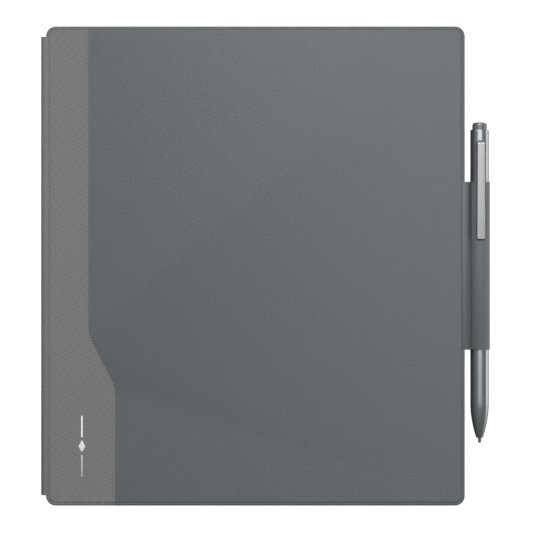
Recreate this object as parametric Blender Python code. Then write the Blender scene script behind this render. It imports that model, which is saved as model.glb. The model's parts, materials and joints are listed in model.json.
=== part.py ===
"""An e-paper note tablet in a book folio, with its stylus in a loop at the folio's open edge.

The folio lies shut on its rear cover, at the origin of the frame: +Z is up, +Y runs along the spine,
and the spine is on the -X side. Everything is in metres. Each sub-part is one object. The pieces that
move are parented to an empty that stands on their joint.
"""

import math

import bmesh
import bpy
from mathutils import Matrix, Vector

MM = 0.001
GAP = 0.3 * MM
SHEET_GAP = 0.25 * MM

# Folio covers. The spine strip stands proud of both covers at -X and is shorter than they are.
COVER_LEFT = -106.4 * MM
COVER_RIGHT = 96.5 * MM
COVER_HALF_HEIGHT = 116.1 * MM
COVER_CORNER = 4.7 * MM
COVER_THICKNESS = 2.0 * MM
SKIN = 0.4 * MM
COVER_RIM = 0.5 * MM
BOARD = 0.7 * MM
LINING = 0.4 * MM
SPINE_LEFT = -108.8 * MM
SPINE_HALF_HEIGHT = 111.1 * MM
SPINE_STIFFENER = 0.7 * MM
FOLD_RADIUS = COVER_THICKNESS / 2

# Edge of the twill panel: upright, then an arc, a slant and an arc back to upright further in.
PANEL_EDGE_TOP = -85.7 * MM
PANEL_EDGE_BOTTOM = -72.7 * MM
PANEL_STEP_Y = -45.8 * MM
PANEL_ARC = 19.4 * MM
PANEL_SLANT = math.radians(27.3)

# Tablet: a ten-inch-class panel with a wide gripping bezel on the spine side.
TABLET_WIDTH = 191.4 * MM
TABLET_HEIGHT = 227.0 * MM
TABLET_CORNER = 7.0 * MM
TABLET_CENTRE_X = -3.5 * MM
TABLET_WALL = 1.2 * MM
SHELL_FLOOR = 0.7 * MM
SCREEN_WIDTH = 157.3 * MM
SCREEN_HEIGHT = 209.7 * MM
SCREEN_CENTRE_X = 2.5 * MM
BATTERY = 2.4 * MM
CHASSIS = 0.5 * MM
DIGITIZER = 0.3 * MM
PANEL = 0.4 * MM
LIGHT_GUIDE = 0.4 * MM
LENS = 0.6 * MM
TRAY_FLOOR = 0.7 * MM
TRAY_WALL = 1.0 * MM
TRAY_DEPTH = 5.0 * MM
BUTTON_X = 60.0 * MM
BUTTON_TRAVEL = 0.4 * MM
BUTTON_SLOT = (14.0 * MM, 2.0 * MM)
FLEX_X = -89.5 * MM
FLEX_HALF_WIDTH = 12.0 * MM
USB_WIDTH = 8.94 * MM
USB_HEIGHT = 3.2 * MM
USB_DEPTH = 7.0 * MM

# Stylus, lying along Y beside the open edge. Its axis is at half the folio's height.
PEN_X = 103.8 * MM
PEN_Z = 6.0 * MM
PEN_RADIUS = 4.5 * MM
PEN_BORE = 3.9 * MM
BARREL_TOP = 66.0 * MM
BARREL_BOTTOM = -66.0 * MM
CONE_TIP = -83.3 * MM
NIB_TIP = -85.8 * MM
NIB_RADIUS = 0.8 * MM
NIB_BORE = 1.1 * MM
NIB_ROD_TOP = -57.0 * MM
SWITCH_TOP = 60.0 * MM
KNOB_TOP = 69.5 * MM
KNOB_RADIUS = 3.55 * MM
DOME_TOP = 70.2 * MM
ERASER_RADIUS = 1.95 * MM
ERASER_FLANGE_TOP = 61.8 * MM
CLIP_TOP = 59.8 * MM
CLIP_BOTTOM = 13.1 * MM
CLIP_WIDTH = 3.6 * MM
CLIP_THICKNESS = 0.8 * MM
CLIP_ROLL = math.radians(7.0)
CLIP_PIVOT_INSET = 0.8 * MM

# Loop of skin around the stylus.
LOOP_TOP = 40.8 * MM
LOOP_BOTTOM = -40.6 * MM
LOOP_BAND = 0.3 * MM
LOOP_CLEARANCE = 0.2 * MM
LOOP_ROOT_X = COVER_RIGHT + GAP

# Heights, from the table up through the closed folio.
TRAY_BASE = COVER_THICKNESS + SHEET_GAP
TABLET_BASE = TRAY_BASE + TRAY_FLOOR + SHEET_GAP
BATTERY_BASE = TABLET_BASE + SHELL_FLOOR + SHEET_GAP
CHASSIS_BASE = BATTERY_BASE + BATTERY + SHEET_GAP
DIGITIZER_BASE = CHASSIS_BASE + CHASSIS + SHEET_GAP
PANEL_BASE = DIGITIZER_BASE + DIGITIZER + SHEET_GAP
LIGHT_GUIDE_BASE = PANEL_BASE + PANEL + SHEET_GAP
LENS_BASE = LIGHT_GUIDE_BASE + LIGHT_GUIDE + SHEET_GAP
TABLET_TOP = LENS_BASE + LENS
CLOSED_THICKNESS = TABLET_TOP + GAP + COVER_THICKNESS
BUTTON_Z = BATTERY_BASE + BATTERY / 2

# Hinge lines of the soft folds, in the middle of the cover's thickness.
SPINE_AXIS_X = SPINE_LEFT + FOLD_RADIUS
LOWER_FOLD_Z = FOLD_RADIUS
UPPER_FOLD_Z = CLOSED_THICKNESS - FOLD_RADIUS
LOOP_FOLD_X = COVER_RIGHT + GAP / 2
LOOP_FOLD_Z = CLOSED_THICKNESS - 0.7 * MM


# Materials -------------------------------------------------------------------------------------

def material(name, colour, roughness, metallic=0.0):
    made = bpy.data.materials.new(name)
    made.use_nodes = True
    shader = made.node_tree.nodes["Principled BSDF"]
    shader.inputs["Base Color"].default_value = (*colour, 1.0)
    shader.inputs["Roughness"].default_value = roughness
    shader.inputs["Metallic"].default_value = metallic
    return made


# Shapes ----------------------------------------------------------------------------------------

def arc(centre, radius, start, end, steps):
    """Points along an arc in a plane, from one angle to another in degrees."""
    points = []
    for step in range(steps + 1):
        angle = math.radians(start + (end - start) * step / steps)
        points.append((centre[0] + radius * math.cos(angle), centre[1] + radius * math.sin(angle)))
    return points


def bezier(start, start_pull, end_pull, end, steps):
    """Points along a cubic curve, without its first point."""
    points = []
    for step in range(1, steps + 1):
        t = step / steps
        weights = ((1 - t) ** 3, 3 * t * (1 - t) ** 2, 3 * t * t * (1 - t), t ** 3)
        corners = (start, start_pull, end_pull, end)
        points.append(tuple(sum(w * c[k] for w, c in zip(weights, corners)) for k in (0, 1)))
    return points


def rectangle(centre_x, centre_y, width, height, corner=0.0, steps=5):
    """The outline of a rectangle, anticlockwise, with round corners where corner isn't zero."""
    points = []
    for quarter, (side_x, side_y) in enumerate(((1, 1), (-1, 1), (-1, -1), (1, -1))):
        middle = (centre_x + side_x * (width / 2 - corner), centre_y + side_y * (height / 2 - corner))
        if corner:
            points += arc(middle, corner, 90 * quarter, 90 * quarter + 90, steps)
        else:
            points.append(middle)
    return points


def prism(outline, start_z, end_z):
    """A flat outline in XY, extruded from one height to another."""
    bm = bmesh.new()
    base = bm.faces.new([bm.verts.new((x, y, start_z)) for x, y in outline])
    lifted = bmesh.ops.extrude_face_region(bm, geom=[base])["geom"]
    lifted_verts = [item for item in lifted if isinstance(item, bmesh.types.BMVert)]
    bmesh.ops.translate(bm, verts=lifted_verts, vec=(0, 0, end_z - start_z))
    bmesh.ops.recalc_face_normals(bm, faces=bm.faces)
    return bm


def tray(outline, closed_z, open_z, wall, floor):
    """A prism with a pocket sunk into the face at open_z, leaving a wall all round and a floor."""
    bm = prism(outline, closed_z, open_z)
    mouth = max(bm.faces, key=lambda face: (len(face.verts), -abs(face.calc_center_median().z - open_z)))
    bmesh.ops.inset_region(bm, faces=[mouth], thickness=wall, use_even_offset=True)
    sunk = bmesh.ops.extrude_face_region(bm, geom=[mouth])["geom"]
    sunk_verts = [item for item in sunk if isinstance(item, bmesh.types.BMVert)]
    floor_z = closed_z + math.copysign(floor, open_z - closed_z)
    bmesh.ops.translate(bm, verts=sunk_verts, vec=(0, 0, floor_z - open_z))
    if mouth.is_valid:
        bmesh.ops.delete(bm, geom=[mouth], context="FACES_ONLY")
    return bm


def join_rings(bm, rings, closed):
    """Faces between each ring and the next, and either caps on the two ends or a join between them."""
    pairs = list(zip(rings, rings[1:]))
    if closed:
        pairs.append((rings[-1], rings[0]))
    for ring, following in pairs:
        for index in range(len(ring)):
            after = (index + 1) % len(ring)
            bm.faces.new((ring[index], ring[after], following[after], following[index]))
    if not closed:
        bm.faces.new(rings[0])
        bm.faces.new(rings[-1])
    bmesh.ops.recalc_face_normals(bm, faces=bm.faces)


def band(path, thickness, start_y, end_y):
    """A strip that follows a path in XZ, with its thickness centred on the path."""
    bm = bmesh.new()
    rings = []
    for index, (x, z) in enumerate(path):
        before = path[max(index - 1, 0)]
        after = path[min(index + 1, len(path) - 1)]
        along = Vector((after[0] - before[0], after[1] - before[1])).normalized()
        out = Vector((-along.y, along.x)) * thickness / 2
        corners = ((x + out.x, start_y, z + out.y), (x + out.x, end_y, z + out.y),
                   (x - out.x, end_y, z - out.y), (x - out.x, start_y, z - out.y))
        rings.append([bm.verts.new(corner) for corner in corners])
    join_rings(bm, rings, closed=False)
    return bm


def turned(profile, segments=32, closed=False):
    """A profile of (radius, y) points turned about the stylus axis. A closed profile makes a tube."""
    bm = bmesh.new()
    verts = [bm.verts.new((PEN_X + radius, y, PEN_Z)) for radius, y in profile]
    edges = [bm.edges.new(pair) for pair in zip(verts, verts[1:])]
    if closed:
        edges.append(bm.edges.new((verts[-1], verts[0])))
    bmesh.ops.spin(bm, geom=verts + edges, cent=(PEN_X, 0, PEN_Z), axis=(0, 1, 0), angle=2 * math.pi,
                   steps=segments, use_duplicate=False)
    bmesh.ops.remove_doubles(bm, verts=bm.verts, dist=0.001 * MM)
    bmesh.ops.recalc_face_normals(bm, faces=bm.faces)
    return bm


def box(low, high):
    """A cuboid between two corners."""
    bm = bmesh.new()
    centre = (Vector(low) + Vector(high)) / 2
    size = Vector(high) - Vector(low)
    bmesh.ops.create_cube(bm, size=1.0, matrix=Matrix.Translation(centre) @ Matrix.Diagonal((*size, 1.0)))
    return bm


# Objects ---------------------------------------------------------------------------------------

def joint_empty(name, point, parent=None):
    """An empty that stands on a joint's axis, and carries the pieces that move with it."""
    empty = bpy.data.objects.new(name, None)
    empty.empty_display_size = 0.01
    bpy.context.scene.collection.objects.link(empty)
    base = Vector(parent["point"]) if parent else Vector((0, 0, 0))
    empty.parent = parent
    empty.location = Vector(point) - base
    empty["point"] = tuple(point)
    return empty


def add_piece(name, bm, made_of, joint=None):
    """Turns a bmesh drawn in the folio's frame into a named object with its origin on its joint."""
    origin = Vector(joint["point"]) if joint else Vector((0, 0, 0))
    bmesh.ops.translate(bm, verts=bm.verts, vec=-origin)
    mesh = bpy.data.meshes.new(name)
    bm.to_mesh(mesh)
    bm.free()
    mesh.shade_smooth()
    mesh.set_sharp_from_angle(angle=math.radians(35))
    mesh.materials.append(made_of)
    piece = bpy.data.objects.new(name, mesh)
    piece.parent = joint
    bpy.context.scene.collection.objects.link(piece)
    return piece


def cut(piece, cutter_bm, name, operation="DIFFERENCE"):
    """Cuts a piece with a hidden solid, or keeps only what lies inside it."""
    joint = piece.parent
    cutter = add_piece(name, cutter_bm, piece.data.materials[0], joint)
    cutter.hide_render = True
    cutter.display_type = "WIRE"
    modifier = piece.modifiers.new(name, "BOOLEAN")
    modifier.operation = operation
    modifier.solver = "EXACT"
    modifier.object = cutter


def stack(sections, along="Z"):
    """Joins outlines of equal point count, each at its own height along Z, or along Y for XZ outlines."""
    bm = bmesh.new()
    rings = []
    for height, outline in sections:
        if along == "Z":
            rings.append([bm.verts.new((u, v, height)) for u, v in outline])
        else:
            rings.append([bm.verts.new((u, height, v)) for u, v in outline])
    join_rings(bm, rings, closed=False)
    return bm


def posts(points, radius, start_z, end_z):
    """One upright cylinder at each point, all in one bmesh."""
    bm = bmesh.new()
    for x, y in points:
        place = Matrix.Translation((x, y, (start_z + end_z) / 2))
        bmesh.ops.create_cone(bm, cap_ends=True, segments=16, radius1=radius, radius2=radius,
                              depth=end_z - start_z, matrix=place)
    return bm


# Folio -----------------------------------------------------------------------------------------

def cover_outline(inset=0.0):
    """The outline that both covers share, drawn in by an inset."""
    return rectangle((COVER_LEFT + COVER_RIGHT) / 2, 0.0, COVER_RIGHT - COVER_LEFT - 2 * inset,
                     2 * (COVER_HALF_HEIGHT - inset), COVER_CORNER - inset)


def panel_region(shift):
    """Everything on the spine side of the twill panel's edge, with that edge moved along X by a shift."""
    far = 2 * COVER_HALF_HEIGHT
    slant_width = PANEL_EDGE_BOTTOM - PANEL_EDGE_TOP - 2 * PANEL_ARC * (1 - math.cos(PANEL_SLANT))
    half_step = PANEL_ARC * math.sin(PANEL_SLANT) + slant_width / math.tan(PANEL_SLANT) / 2
    slant = math.degrees(PANEL_SLANT)
    upper = (PANEL_EDGE_TOP + PANEL_ARC, PANEL_STEP_Y + half_step)
    lower = (PANEL_EDGE_BOTTOM - PANEL_ARC, PANEL_STEP_Y - half_step)
    edge = [(PANEL_EDGE_TOP, far)]
    edge += arc(upper, PANEL_ARC, 180, 180 + slant, 6)
    edge += arc(lower, PANEL_ARC, slant, 0, 6)
    edge += [(PANEL_EDGE_BOTTOM, -far), (-far, -far), (-far, far)]
    return [(x + shift, y) for x, y in edge]


def cover_skin(name, made_of, closed_z, open_z, joint=None):
    """A cover's outer skin, turned over the edges of its board."""
    return add_piece(name, tray(cover_outline(), closed_z, open_z, COVER_RIM, SKIN), made_of, joint)


def cover_filling(side, outer_z, inner_z, board, cloth, joint=None):
    """The stiff board and the lining that a cover's skin is turned over."""
    inward = math.copysign(1.0, inner_z - outer_z)
    inside = cover_outline(COVER_RIM + GAP)
    board_z = outer_z + inward * (SKIN + SHEET_GAP)
    stiff = add_piece(side + "_board", prism(inside, board_z, board_z + inward * BOARD), board, joint)
    add_piece(side + "_lining", prism(inside, inner_z - inward * LINING, inner_z), cloth, joint)
    return stiff, board_z + inward * BOARD / 2


def front_cover(materials, joint):
    outer_z = CLOSED_THICKNESS
    inner_z = CLOSED_THICKNESS - COVER_THICKNESS
    margin = 1.0 * MM
    low_z = inner_z - margin
    high_z = outer_z + margin
    skin = cover_skin("front_cover_skin", materials["leather"], outer_z, inner_z, joint)
    cut(skin, prism(panel_region(GAP / 2), low_z, high_z), "front_skin_edge")
    panel = cover_skin("front_twill_panel", materials["twill"], outer_z, inner_z, joint)
    cut(panel, prism(panel_region(-GAP / 2), low_z, high_z), "front_panel_edge", "INTERSECT")
    board, board_z = cover_filling("front", outer_z, inner_z, materials["board"],
                                   materials["microfibre"], joint)
    magnet = Vector((5.0, 20.0, 0.7)) * MM
    magnet_x = 88.0 * MM
    magnet_y = 60.0 * MM
    pocket = magnet + Vector((2 * GAP, 2 * GAP, margin))
    for place, side in (("upper", 1), ("lower", -1)):
        centre = Vector((magnet_x, side * magnet_y, board_z))
        cut(board, box(centre - pocket / 2, centre + pocket / 2), "front_board_pocket_" + place)
        add_piece("closure_magnet_" + place, box(centre - magnet / 2, centre + magnet / 2),
                  materials["magnet"], joint)


def spine(materials, joint):
    """The strip between the covers: a skin rolled over both folds, a stiffener and a lining."""
    roll = FOLD_RADIUS - SKIN / 2
    path = arc((SPINE_AXIS_X, UPPER_FOLD_Z), roll, 10, 180, 10)
    path += arc((SPINE_AXIS_X, LOWER_FOLD_Z), roll, 180, 350, 10)
    skin = band(path, SKIN, -SPINE_HALF_HEIGHT, SPINE_HALF_HEIGHT)
    add_piece("spine_skin", skin, materials["twill"], joint)
    fold_margin = 1.2 * MM
    stiff_x = SPINE_LEFT + SKIN + GAP
    lining_x = stiff_x + SPINE_STIFFENER + GAP
    end_y = SPINE_HALF_HEIGHT - 1.0 * MM
    base = LOWER_FOLD_Z + fold_margin
    top = UPPER_FOLD_Z - fold_margin
    add_piece("spine_stiffener", box((stiff_x, -end_y, base), (stiff_x + SPINE_STIFFENER, end_y, top)),
              materials["board"], joint)
    add_piece("spine_lining", box((lining_x, -end_y, base), (lining_x + GAP, end_y, top)),
              materials["microfibre"], joint)


def rear_cover(materials):
    cover_skin("rear_cover_skin", materials["leather"], 0.0, COVER_THICKNESS)
    cover_filling("rear", 0.0, COVER_THICKNESS, materials["board"], materials["microfibre"])


def holder_tray(materials):
    """The moulded tray, fixed to the rear cover, that grips the tablet by its rim."""
    reach = GAP + TRAY_WALL
    outline = rectangle(TABLET_CENTRE_X, 0.0, TABLET_WIDTH + 2 * reach, TABLET_HEIGHT + 2 * reach,
                        TABLET_CORNER + reach)
    moulding = tray(outline, TRAY_BASE, TRAY_BASE + TRAY_DEPTH, TRAY_WALL, TRAY_FLOOR)
    holder = add_piece("holder_tray", moulding, materials["tray"])
    notch_base = TABLET_BASE
    notch_top = TRAY_BASE + 2 * TRAY_DEPTH
    for name, x, half_width, side in (("tray_button_notch", BUTTON_X, 11.0 * MM, 1),
                                      ("tray_usb_notch", TABLET_CENTRE_X, 8.0 * MM, -1)):
        near = side * (TABLET_HEIGHT / 2 - TRAY_WALL)
        far = side * (TABLET_HEIGHT / 2 + 4 * TRAY_WALL)
        notch = box((x - half_width, min(near, far), notch_base),
                    (x + half_width, max(near, far), notch_top))
        cut(holder, notch, name)


def pen_loop(materials, joint):
    """One strip of skin: out from the cover's edge, round the stylus and back to the cover's edge."""
    radius = PEN_RADIUS + LOOP_CLEARANCE + LOOP_BAND / 2
    upper_z = CLOSED_THICKNESS - 0.4 * MM
    lower_z = CLOSED_THICKNESS - 1.0 * MM
    over = arc((PEN_X, PEN_Z), radius, 128, -190, 44)
    meet = over[0]
    leave = over[-1]
    path = [(LOOP_ROOT_X, upper_z), (LOOP_ROOT_X + 1.2 * MM, upper_z)]
    path += bezier(path[-1], (LOOP_ROOT_X + 3.1 * MM, upper_z), (meet[0] - 1.0 * MM, meet[1] - 0.8 * MM),
                   meet, 7)
    path += over[1:]
    path += bezier(leave, (leave[0] + 0.35 * MM, leave[1] + 2.0 * MM), (LOOP_ROOT_X + 2.1 * MM, lower_z),
                   (LOOP_ROOT_X + 1.0 * MM, lower_z), 6)
    path.append((LOOP_ROOT_X, lower_z))
    add_piece("pen_loop", band(path, LOOP_BAND, LOOP_BOTTOM, LOOP_TOP), materials["leather"], joint)


# Tablet ----------------------------------------------------------------------------------------

def inside_shell(inset=GAP):
    """The outline just inside the rear shell's wall."""
    shrink = TABLET_WALL + inset
    return rectangle(TABLET_CENTRE_X, 0.0, TABLET_WIDTH - 2 * shrink, TABLET_HEIGHT - 2 * shrink,
                     TABLET_CORNER - shrink)


def screw_points():
    """Where the chassis screws stand, one near each corner."""
    reach_x = TABLET_WIDTH / 2 - 10.0 * MM
    reach_y = TABLET_HEIGHT / 2 - 8.5 * MM
    return [(TABLET_CENTRE_X + side_x * reach_x, side_y * reach_y)
            for side_x, side_y in ((1, 1), (-1, 1), (-1, -1), (1, -1))]


def rear_shell(materials):
    outline = rectangle(TABLET_CENTRE_X, 0.0, TABLET_WIDTH, TABLET_HEIGHT, TABLET_CORNER)
    shell = add_piece("rear_shell", tray(outline, TABLET_BASE, TABLET_TOP, TABLET_WALL, SHELL_FLOOR),
                      materials["shell"])
    floor_z = TABLET_BASE + SHELL_FLOOR
    boss_base = TABLET_BASE + SHELL_FLOOR / 2
    boss_radius = 2.6 * MM
    pilot_radius = 1.0 * MM
    bosses = posts(screw_points(), boss_radius, boss_base, CHASSIS_BASE - SHEET_GAP)
    cut(shell, bosses, "screw_bosses", "UNION")
    cut(shell, posts(screw_points(), pilot_radius, floor_z + GAP, CHASSIS_BASE), "screw_pilots")
    wall_y = TABLET_HEIGHT / 2 - TABLET_WALL / 2
    usb_size = (USB_WIDTH + 2 * SHEET_GAP, USB_HEIGHT + 2 * SHEET_GAP)
    for name, x, z, (width, height), side in (
            ("button_slot", BUTTON_X, BUTTON_Z, BUTTON_SLOT, 1),
            ("usb_slot", TABLET_CENTRE_X, usb_z(), usb_size, -1)):
        slot = stack([(side * wall_y - TABLET_WALL, rectangle(x, z, width, height, height / 2.1)),
                      (side * wall_y + TABLET_WALL, rectangle(x, z, width, height, height / 2.1))], "Y")
        cut(shell, slot, name)


def usb_z():
    """Height of the socket's axis, midway between the shell's floor and the digitizer."""
    return (TABLET_BASE + SHELL_FLOOR + DIGITIZER_BASE) / 2


def chassis(materials):
    frame = add_piece("chassis_frame", prism(inside_shell(), CHASSIS_BASE, CHASSIS_BASE + CHASSIS),
                      materials["magnesium"])
    low = CHASSIS_BASE - CHASSIS
    high = CHASSIS_BASE + 2 * CHASSIS
    hole_radius = 1.8 * MM
    cut(frame, posts(screw_points(), hole_radius, low, high), "chassis_screw_holes")
    usb_half = USB_WIDTH / 2 + GAP
    mouth_y = -TABLET_HEIGHT / 2
    usb_back = mouth_y + USB_DEPTH + TABLET_WALL
    cut(frame, box((TABLET_CENTRE_X - usb_half, mouth_y, low), (TABLET_CENTRE_X + usb_half, usb_back, high)),
        "chassis_usb_notch")
    slot_half = Vector((1.5 * MM, FLEX_HALF_WIDTH + 1.0 * MM))
    cut(frame, box((FLEX_X - slot_half.x, -slot_half.y, low), (FLEX_X + slot_half.x, slot_half.y, high)),
        "chassis_flex_slot")
    shank = 0.7 * MM
    head = 1.5 * MM
    head_base = CHASSIS_BASE + 0.1 * MM
    steps = ((BATTERY_BASE + GAP, shank), (head_base, shank), (head_base, head),
             (CHASSIS_BASE + CHASSIS, head))
    for index, (x, y) in enumerate(screw_points(), start=1):
        sections = [(z, arc((x, y), radius, 0, 337.5, 15)) for z, radius in steps]
        add_piece(f"chassis_screw_{index}", stack(sections), materials["steel"])


def block(name, centre, size, base, height, made_of):
    """A small rectangular component that stands on a given height."""
    low = ((centre[0] - size[0] / 2) * MM, (centre[1] - size[1] / 2) * MM, base)
    high = ((centre[0] + size[0] / 2) * MM, (centre[1] + size[1] / 2) * MM, base + height)
    return add_piece(name, box(low, high), made_of)


def electronics(materials):
    """Cells, boards and chips under the chassis. Block centres and sizes are in millimetres."""
    base = BATTERY_BASE
    block("battery_cell_left", (-52, -25), (62, 110), base, BATTERY, materials["battery"])
    block("battery_cell_right", (15, -25), (62, 110), base, BATTERY, materials["battery"])
    board_height = 0.8 * MM
    on_board = base + board_height + SHEET_GAP
    block("main_board", (20, 76), (110, 60), base, board_height, materials["board_green"])
    can = rectangle(10 * MM, 75 * MM, 40 * MM, 34 * MM, 1.0 * MM, 2)
    can_wall = 0.3 * MM
    can_roof = 0.25 * MM
    add_piece("shield_can", tray(can, base + BATTERY, on_board, can_wall, can_roof), materials["steel"])
    block("processor", (10, 75), (14, 14), on_board, 0.75 * MM, materials["chip"])
    block("hall_sensor", (68, 60), (3, 2), on_board, 0.8 * MM, materials["chip"])
    block("speaker_left", (-70, -100), (26, 12), base, BATTERY, materials["shell"])
    block("speaker_right", (62, -100), (26, 12), base, BATTERY, materials["shell"])
    block("microphone", (30, -108), (4, 3), base, 1.0 * MM, materials["steel"])
    block("antenna", (-65, 107), (40, 6), base, 0.3 * MM, materials["flex"])


def usb_socket(materials):
    mouth = -TABLET_HEIGHT / 2 + SHEET_GAP
    back = mouth + USB_DEPTH
    wall = 0.3 * MM
    corner = USB_HEIGHT / 2.1
    outer = rectangle(TABLET_CENTRE_X, usb_z(), USB_WIDTH, USB_HEIGHT, corner)
    inner = rectangle(TABLET_CENTRE_X, usb_z(), USB_WIDTH - 2 * wall, USB_HEIGHT - 2 * wall, corner - wall)
    can = stack([(back, outer), (mouth, outer), (mouth, inner), (back - wall, inner)], "Y")
    add_piece("usb_c_socket", can, materials["steel"])
    half_width = 3.35 * MM
    half_height = 0.35 * MM
    add_piece("usb_c_tongue", box((TABLET_CENTRE_X - half_width, mouth + 1.2 * MM, usb_z() - half_height),
                                  (TABLET_CENTRE_X + half_width, back - wall - GAP, usb_z() + half_height)),
              materials["chip"])


def power_button(materials, joint):
    """A cap through the shell's wall, kept in by its flange, and the switch that it presses."""
    inner_wall = TABLET_HEIGHT / 2 - TABLET_WALL
    flange = rectangle(BUTTON_X, BUTTON_Z, 16.0 * MM, 2.6 * MM, 0.4 * MM, 2)
    cap = rectangle(BUTTON_X, BUTTON_Z, 13.4 * MM, 1.4 * MM, 0.6 * MM, 2)
    flange_back = inner_wall - 1.1 * MM
    flange_front = inner_wall - GAP
    outer_face = TABLET_HEIGHT / 2 + 0.6 * MM
    sections = [(flange_back, flange), (flange_front, flange), (flange_front, cap), (outer_face, cap)]
    add_piece("power_button", stack(sections, "Y"), materials["shell"], joint)
    switch_front = flange_back - BUTTON_TRAVEL - GAP
    switch_low = (BUTTON_X - 2.0 * MM, switch_front - 1.2 * MM, BUTTON_Z - 0.7 * MM)
    switch_high = (BUTTON_X + 2.0 * MM, switch_front, BUTTON_Z + 0.7 * MM)
    add_piece("power_switch", box(switch_low, switch_high), materials["steel"])


def display(materials):
    def sheet(name, width, height, base, thickness, made_of):
        outline = rectangle(SCREEN_CENTRE_X, 0.0, width, height, 1.0 * MM, 2)
        add_piece(name, prism(outline, base, base + thickness), made_of)

    panel_width = SCREEN_WIDTH + 7.7 * MM
    panel_height = SCREEN_HEIGHT + 6.3 * MM
    sheet("digitizer_board", panel_width + 6.0 * MM, panel_height + 3.0 * MM, DIGITIZER_BASE, DIGITIZER,
          materials["digitizer"])
    sheet("paper_screen", panel_width, panel_height, PANEL_BASE, PANEL, materials["screen"])
    sheet("light_guide", panel_width, panel_height, LIGHT_GUIDE_BASE, LIGHT_GUIDE, materials["acrylic"])
    strip_top = -panel_height / 2 - GAP
    strip_half = SCREEN_WIDTH / 2
    add_piece("light_strip", box((SCREEN_CENTRE_X - strip_half, strip_top - 1.2 * MM, LIGHT_GUIDE_BASE),
                                 (SCREEN_CENTRE_X + strip_half, strip_top, LIGHT_GUIDE_BASE + LIGHT_GUIDE)),
              materials["flex"])
    add_piece("front_lens", prism(inside_shell(), LENS_BASE, TABLET_TOP), materials["lens"])

    screen_z = PANEL_BASE + PANEL / 2
    plug_z = BATTERY_BASE + 0.4 * MM
    screen_left = SCREEN_CENTRE_X - panel_width / 2 - GAP
    film = 0.15 * MM
    path = [(screen_left, screen_z), (screen_left - 4.0 * MM, screen_z)]
    path += bezier(path[-1], (FLEX_X, screen_z), (FLEX_X, screen_z), (FLEX_X, CHASSIS_BASE + CHASSIS), 5)
    path.append((FLEX_X, CHASSIS_BASE))
    path += bezier(path[-1], (FLEX_X, plug_z), (FLEX_X, plug_z), (FLEX_X + 3.0 * MM, plug_z), 5)
    path.append((FLEX_X + 5.0 * MM, plug_z))
    add_piece("display_flex", band(path, film, -FLEX_HALF_WIDTH, FLEX_HALF_WIDTH), materials["flex"])


# Stylus ----------------------------------------------------------------------------------------

def cone_radius(along):
    """The tip cone's outer radius, by distance from the barrel's end: an even curve that leaves in line."""
    return PEN_RADIUS - 9.75 * along * along


def barrel(materials, joint):
    chamfer = 0.4 * MM
    profile = [(PEN_BORE, BARREL_TOP), (PEN_RADIUS - chamfer / 2, BARREL_TOP),
               (PEN_RADIUS, BARREL_TOP - chamfer), (PEN_RADIUS, BARREL_BOTTOM), (PEN_BORE, BARREL_BOTTOM)]
    add_piece("stylus_barrel", turned(profile, closed=True), materials["pen_metal"], joint)


def tip_cone(materials, joint):
    start = BARREL_BOTTOM - GAP
    length = start - CONE_TIP
    steps = 10
    outer = []
    for step in range(steps + 1):
        along = length * step / steps
        outer.append((cone_radius(along), start - along))
    bore = [(NIB_BORE, CONE_TIP), (NIB_BORE, CONE_TIP + 3.3 * MM), (2.1 * MM, CONE_TIP + 5.3 * MM),
            (3.0 * MM, CONE_TIP + 10.8 * MM), (3.7 * MM, start)]
    add_piece("tip_cone", turned(outer + bore, closed=True), materials["pen_metal"], joint)


def nib(materials, joint):
    """The nib with its long rod, and the cup that holds the rod's end and presses on the sensor."""
    rounding = 0.7 * MM
    tip = []
    for angle in (0, 30, 60, 90):
        turn = math.radians(angle)
        tip.append((NIB_RADIUS * math.sin(turn), NIB_TIP + rounding * (1 - math.cos(turn))))
    rod = [(NIB_RADIUS, NIB_ROD_TOP), (0.0, NIB_ROD_TOP)]
    add_piece("nib", turned(tip + rod, 20), materials["nib"], joint)
    top = NIB_ROD_TOP + 5.0 * MM
    mouth = NIB_ROD_TOP - 3.0 * MM
    socket_end = NIB_ROD_TOP + GAP
    outer = 1.9 * MM
    cup = [(0.0, top), (outer, top), (outer, mouth), (NIB_BORE, mouth), (NIB_BORE, socket_end),
           (0.0, socket_end)]
    add_piece("nib_holder", turned(cup, 20), materials["nib"], joint)


def tube(name, inner, outer, bottom, top, made_of, joint):
    """A plain tube on the stylus axis."""
    profile = [(inner, top), (outer, top), (outer, bottom), (inner, bottom)]
    add_piece(name, turned(profile, 20, closed=True), made_of, joint)


def plug(name, radius, bottom, top, made_of, joint):
    """A plain cylinder on the stylus axis."""
    profile = [(0.0, bottom), (radius, bottom), (radius, top), (0.0, top)]
    add_piece(name, turned(profile, 20), made_of, joint)


def stylus_core(materials, joint):
    """What the barrel hides: coil and ferrite, pressure sensor, circuit board and the eraser's switch."""
    tube("ferrite_core", NIB_BORE, 1.7 * MM, -77.0 * MM, -61.0 * MM, materials["ferrite"], joint)
    tube("coil_winding", 2.0 * MM, 2.6 * MM, -73.0 * MM, -63.0 * MM, materials["copper"], joint)
    plug("pressure_sensor", 3.0 * MM, -51.2 * MM, -47.0 * MM, materials["steel"], joint)
    board_half = Vector((2.6, 51.2, 0.4)) * MM
    board_centre = Vector((PEN_X, 4.8 * MM, PEN_Z))
    add_piece("stylus_circuit_board", box(board_centre - board_half, board_centre + board_half),
              materials["board_green"], joint)
    plug("eraser_switch", 2.4 * MM, SWITCH_TOP - 3.0 * MM, SWITCH_TOP, materials["steel"], joint)


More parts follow.
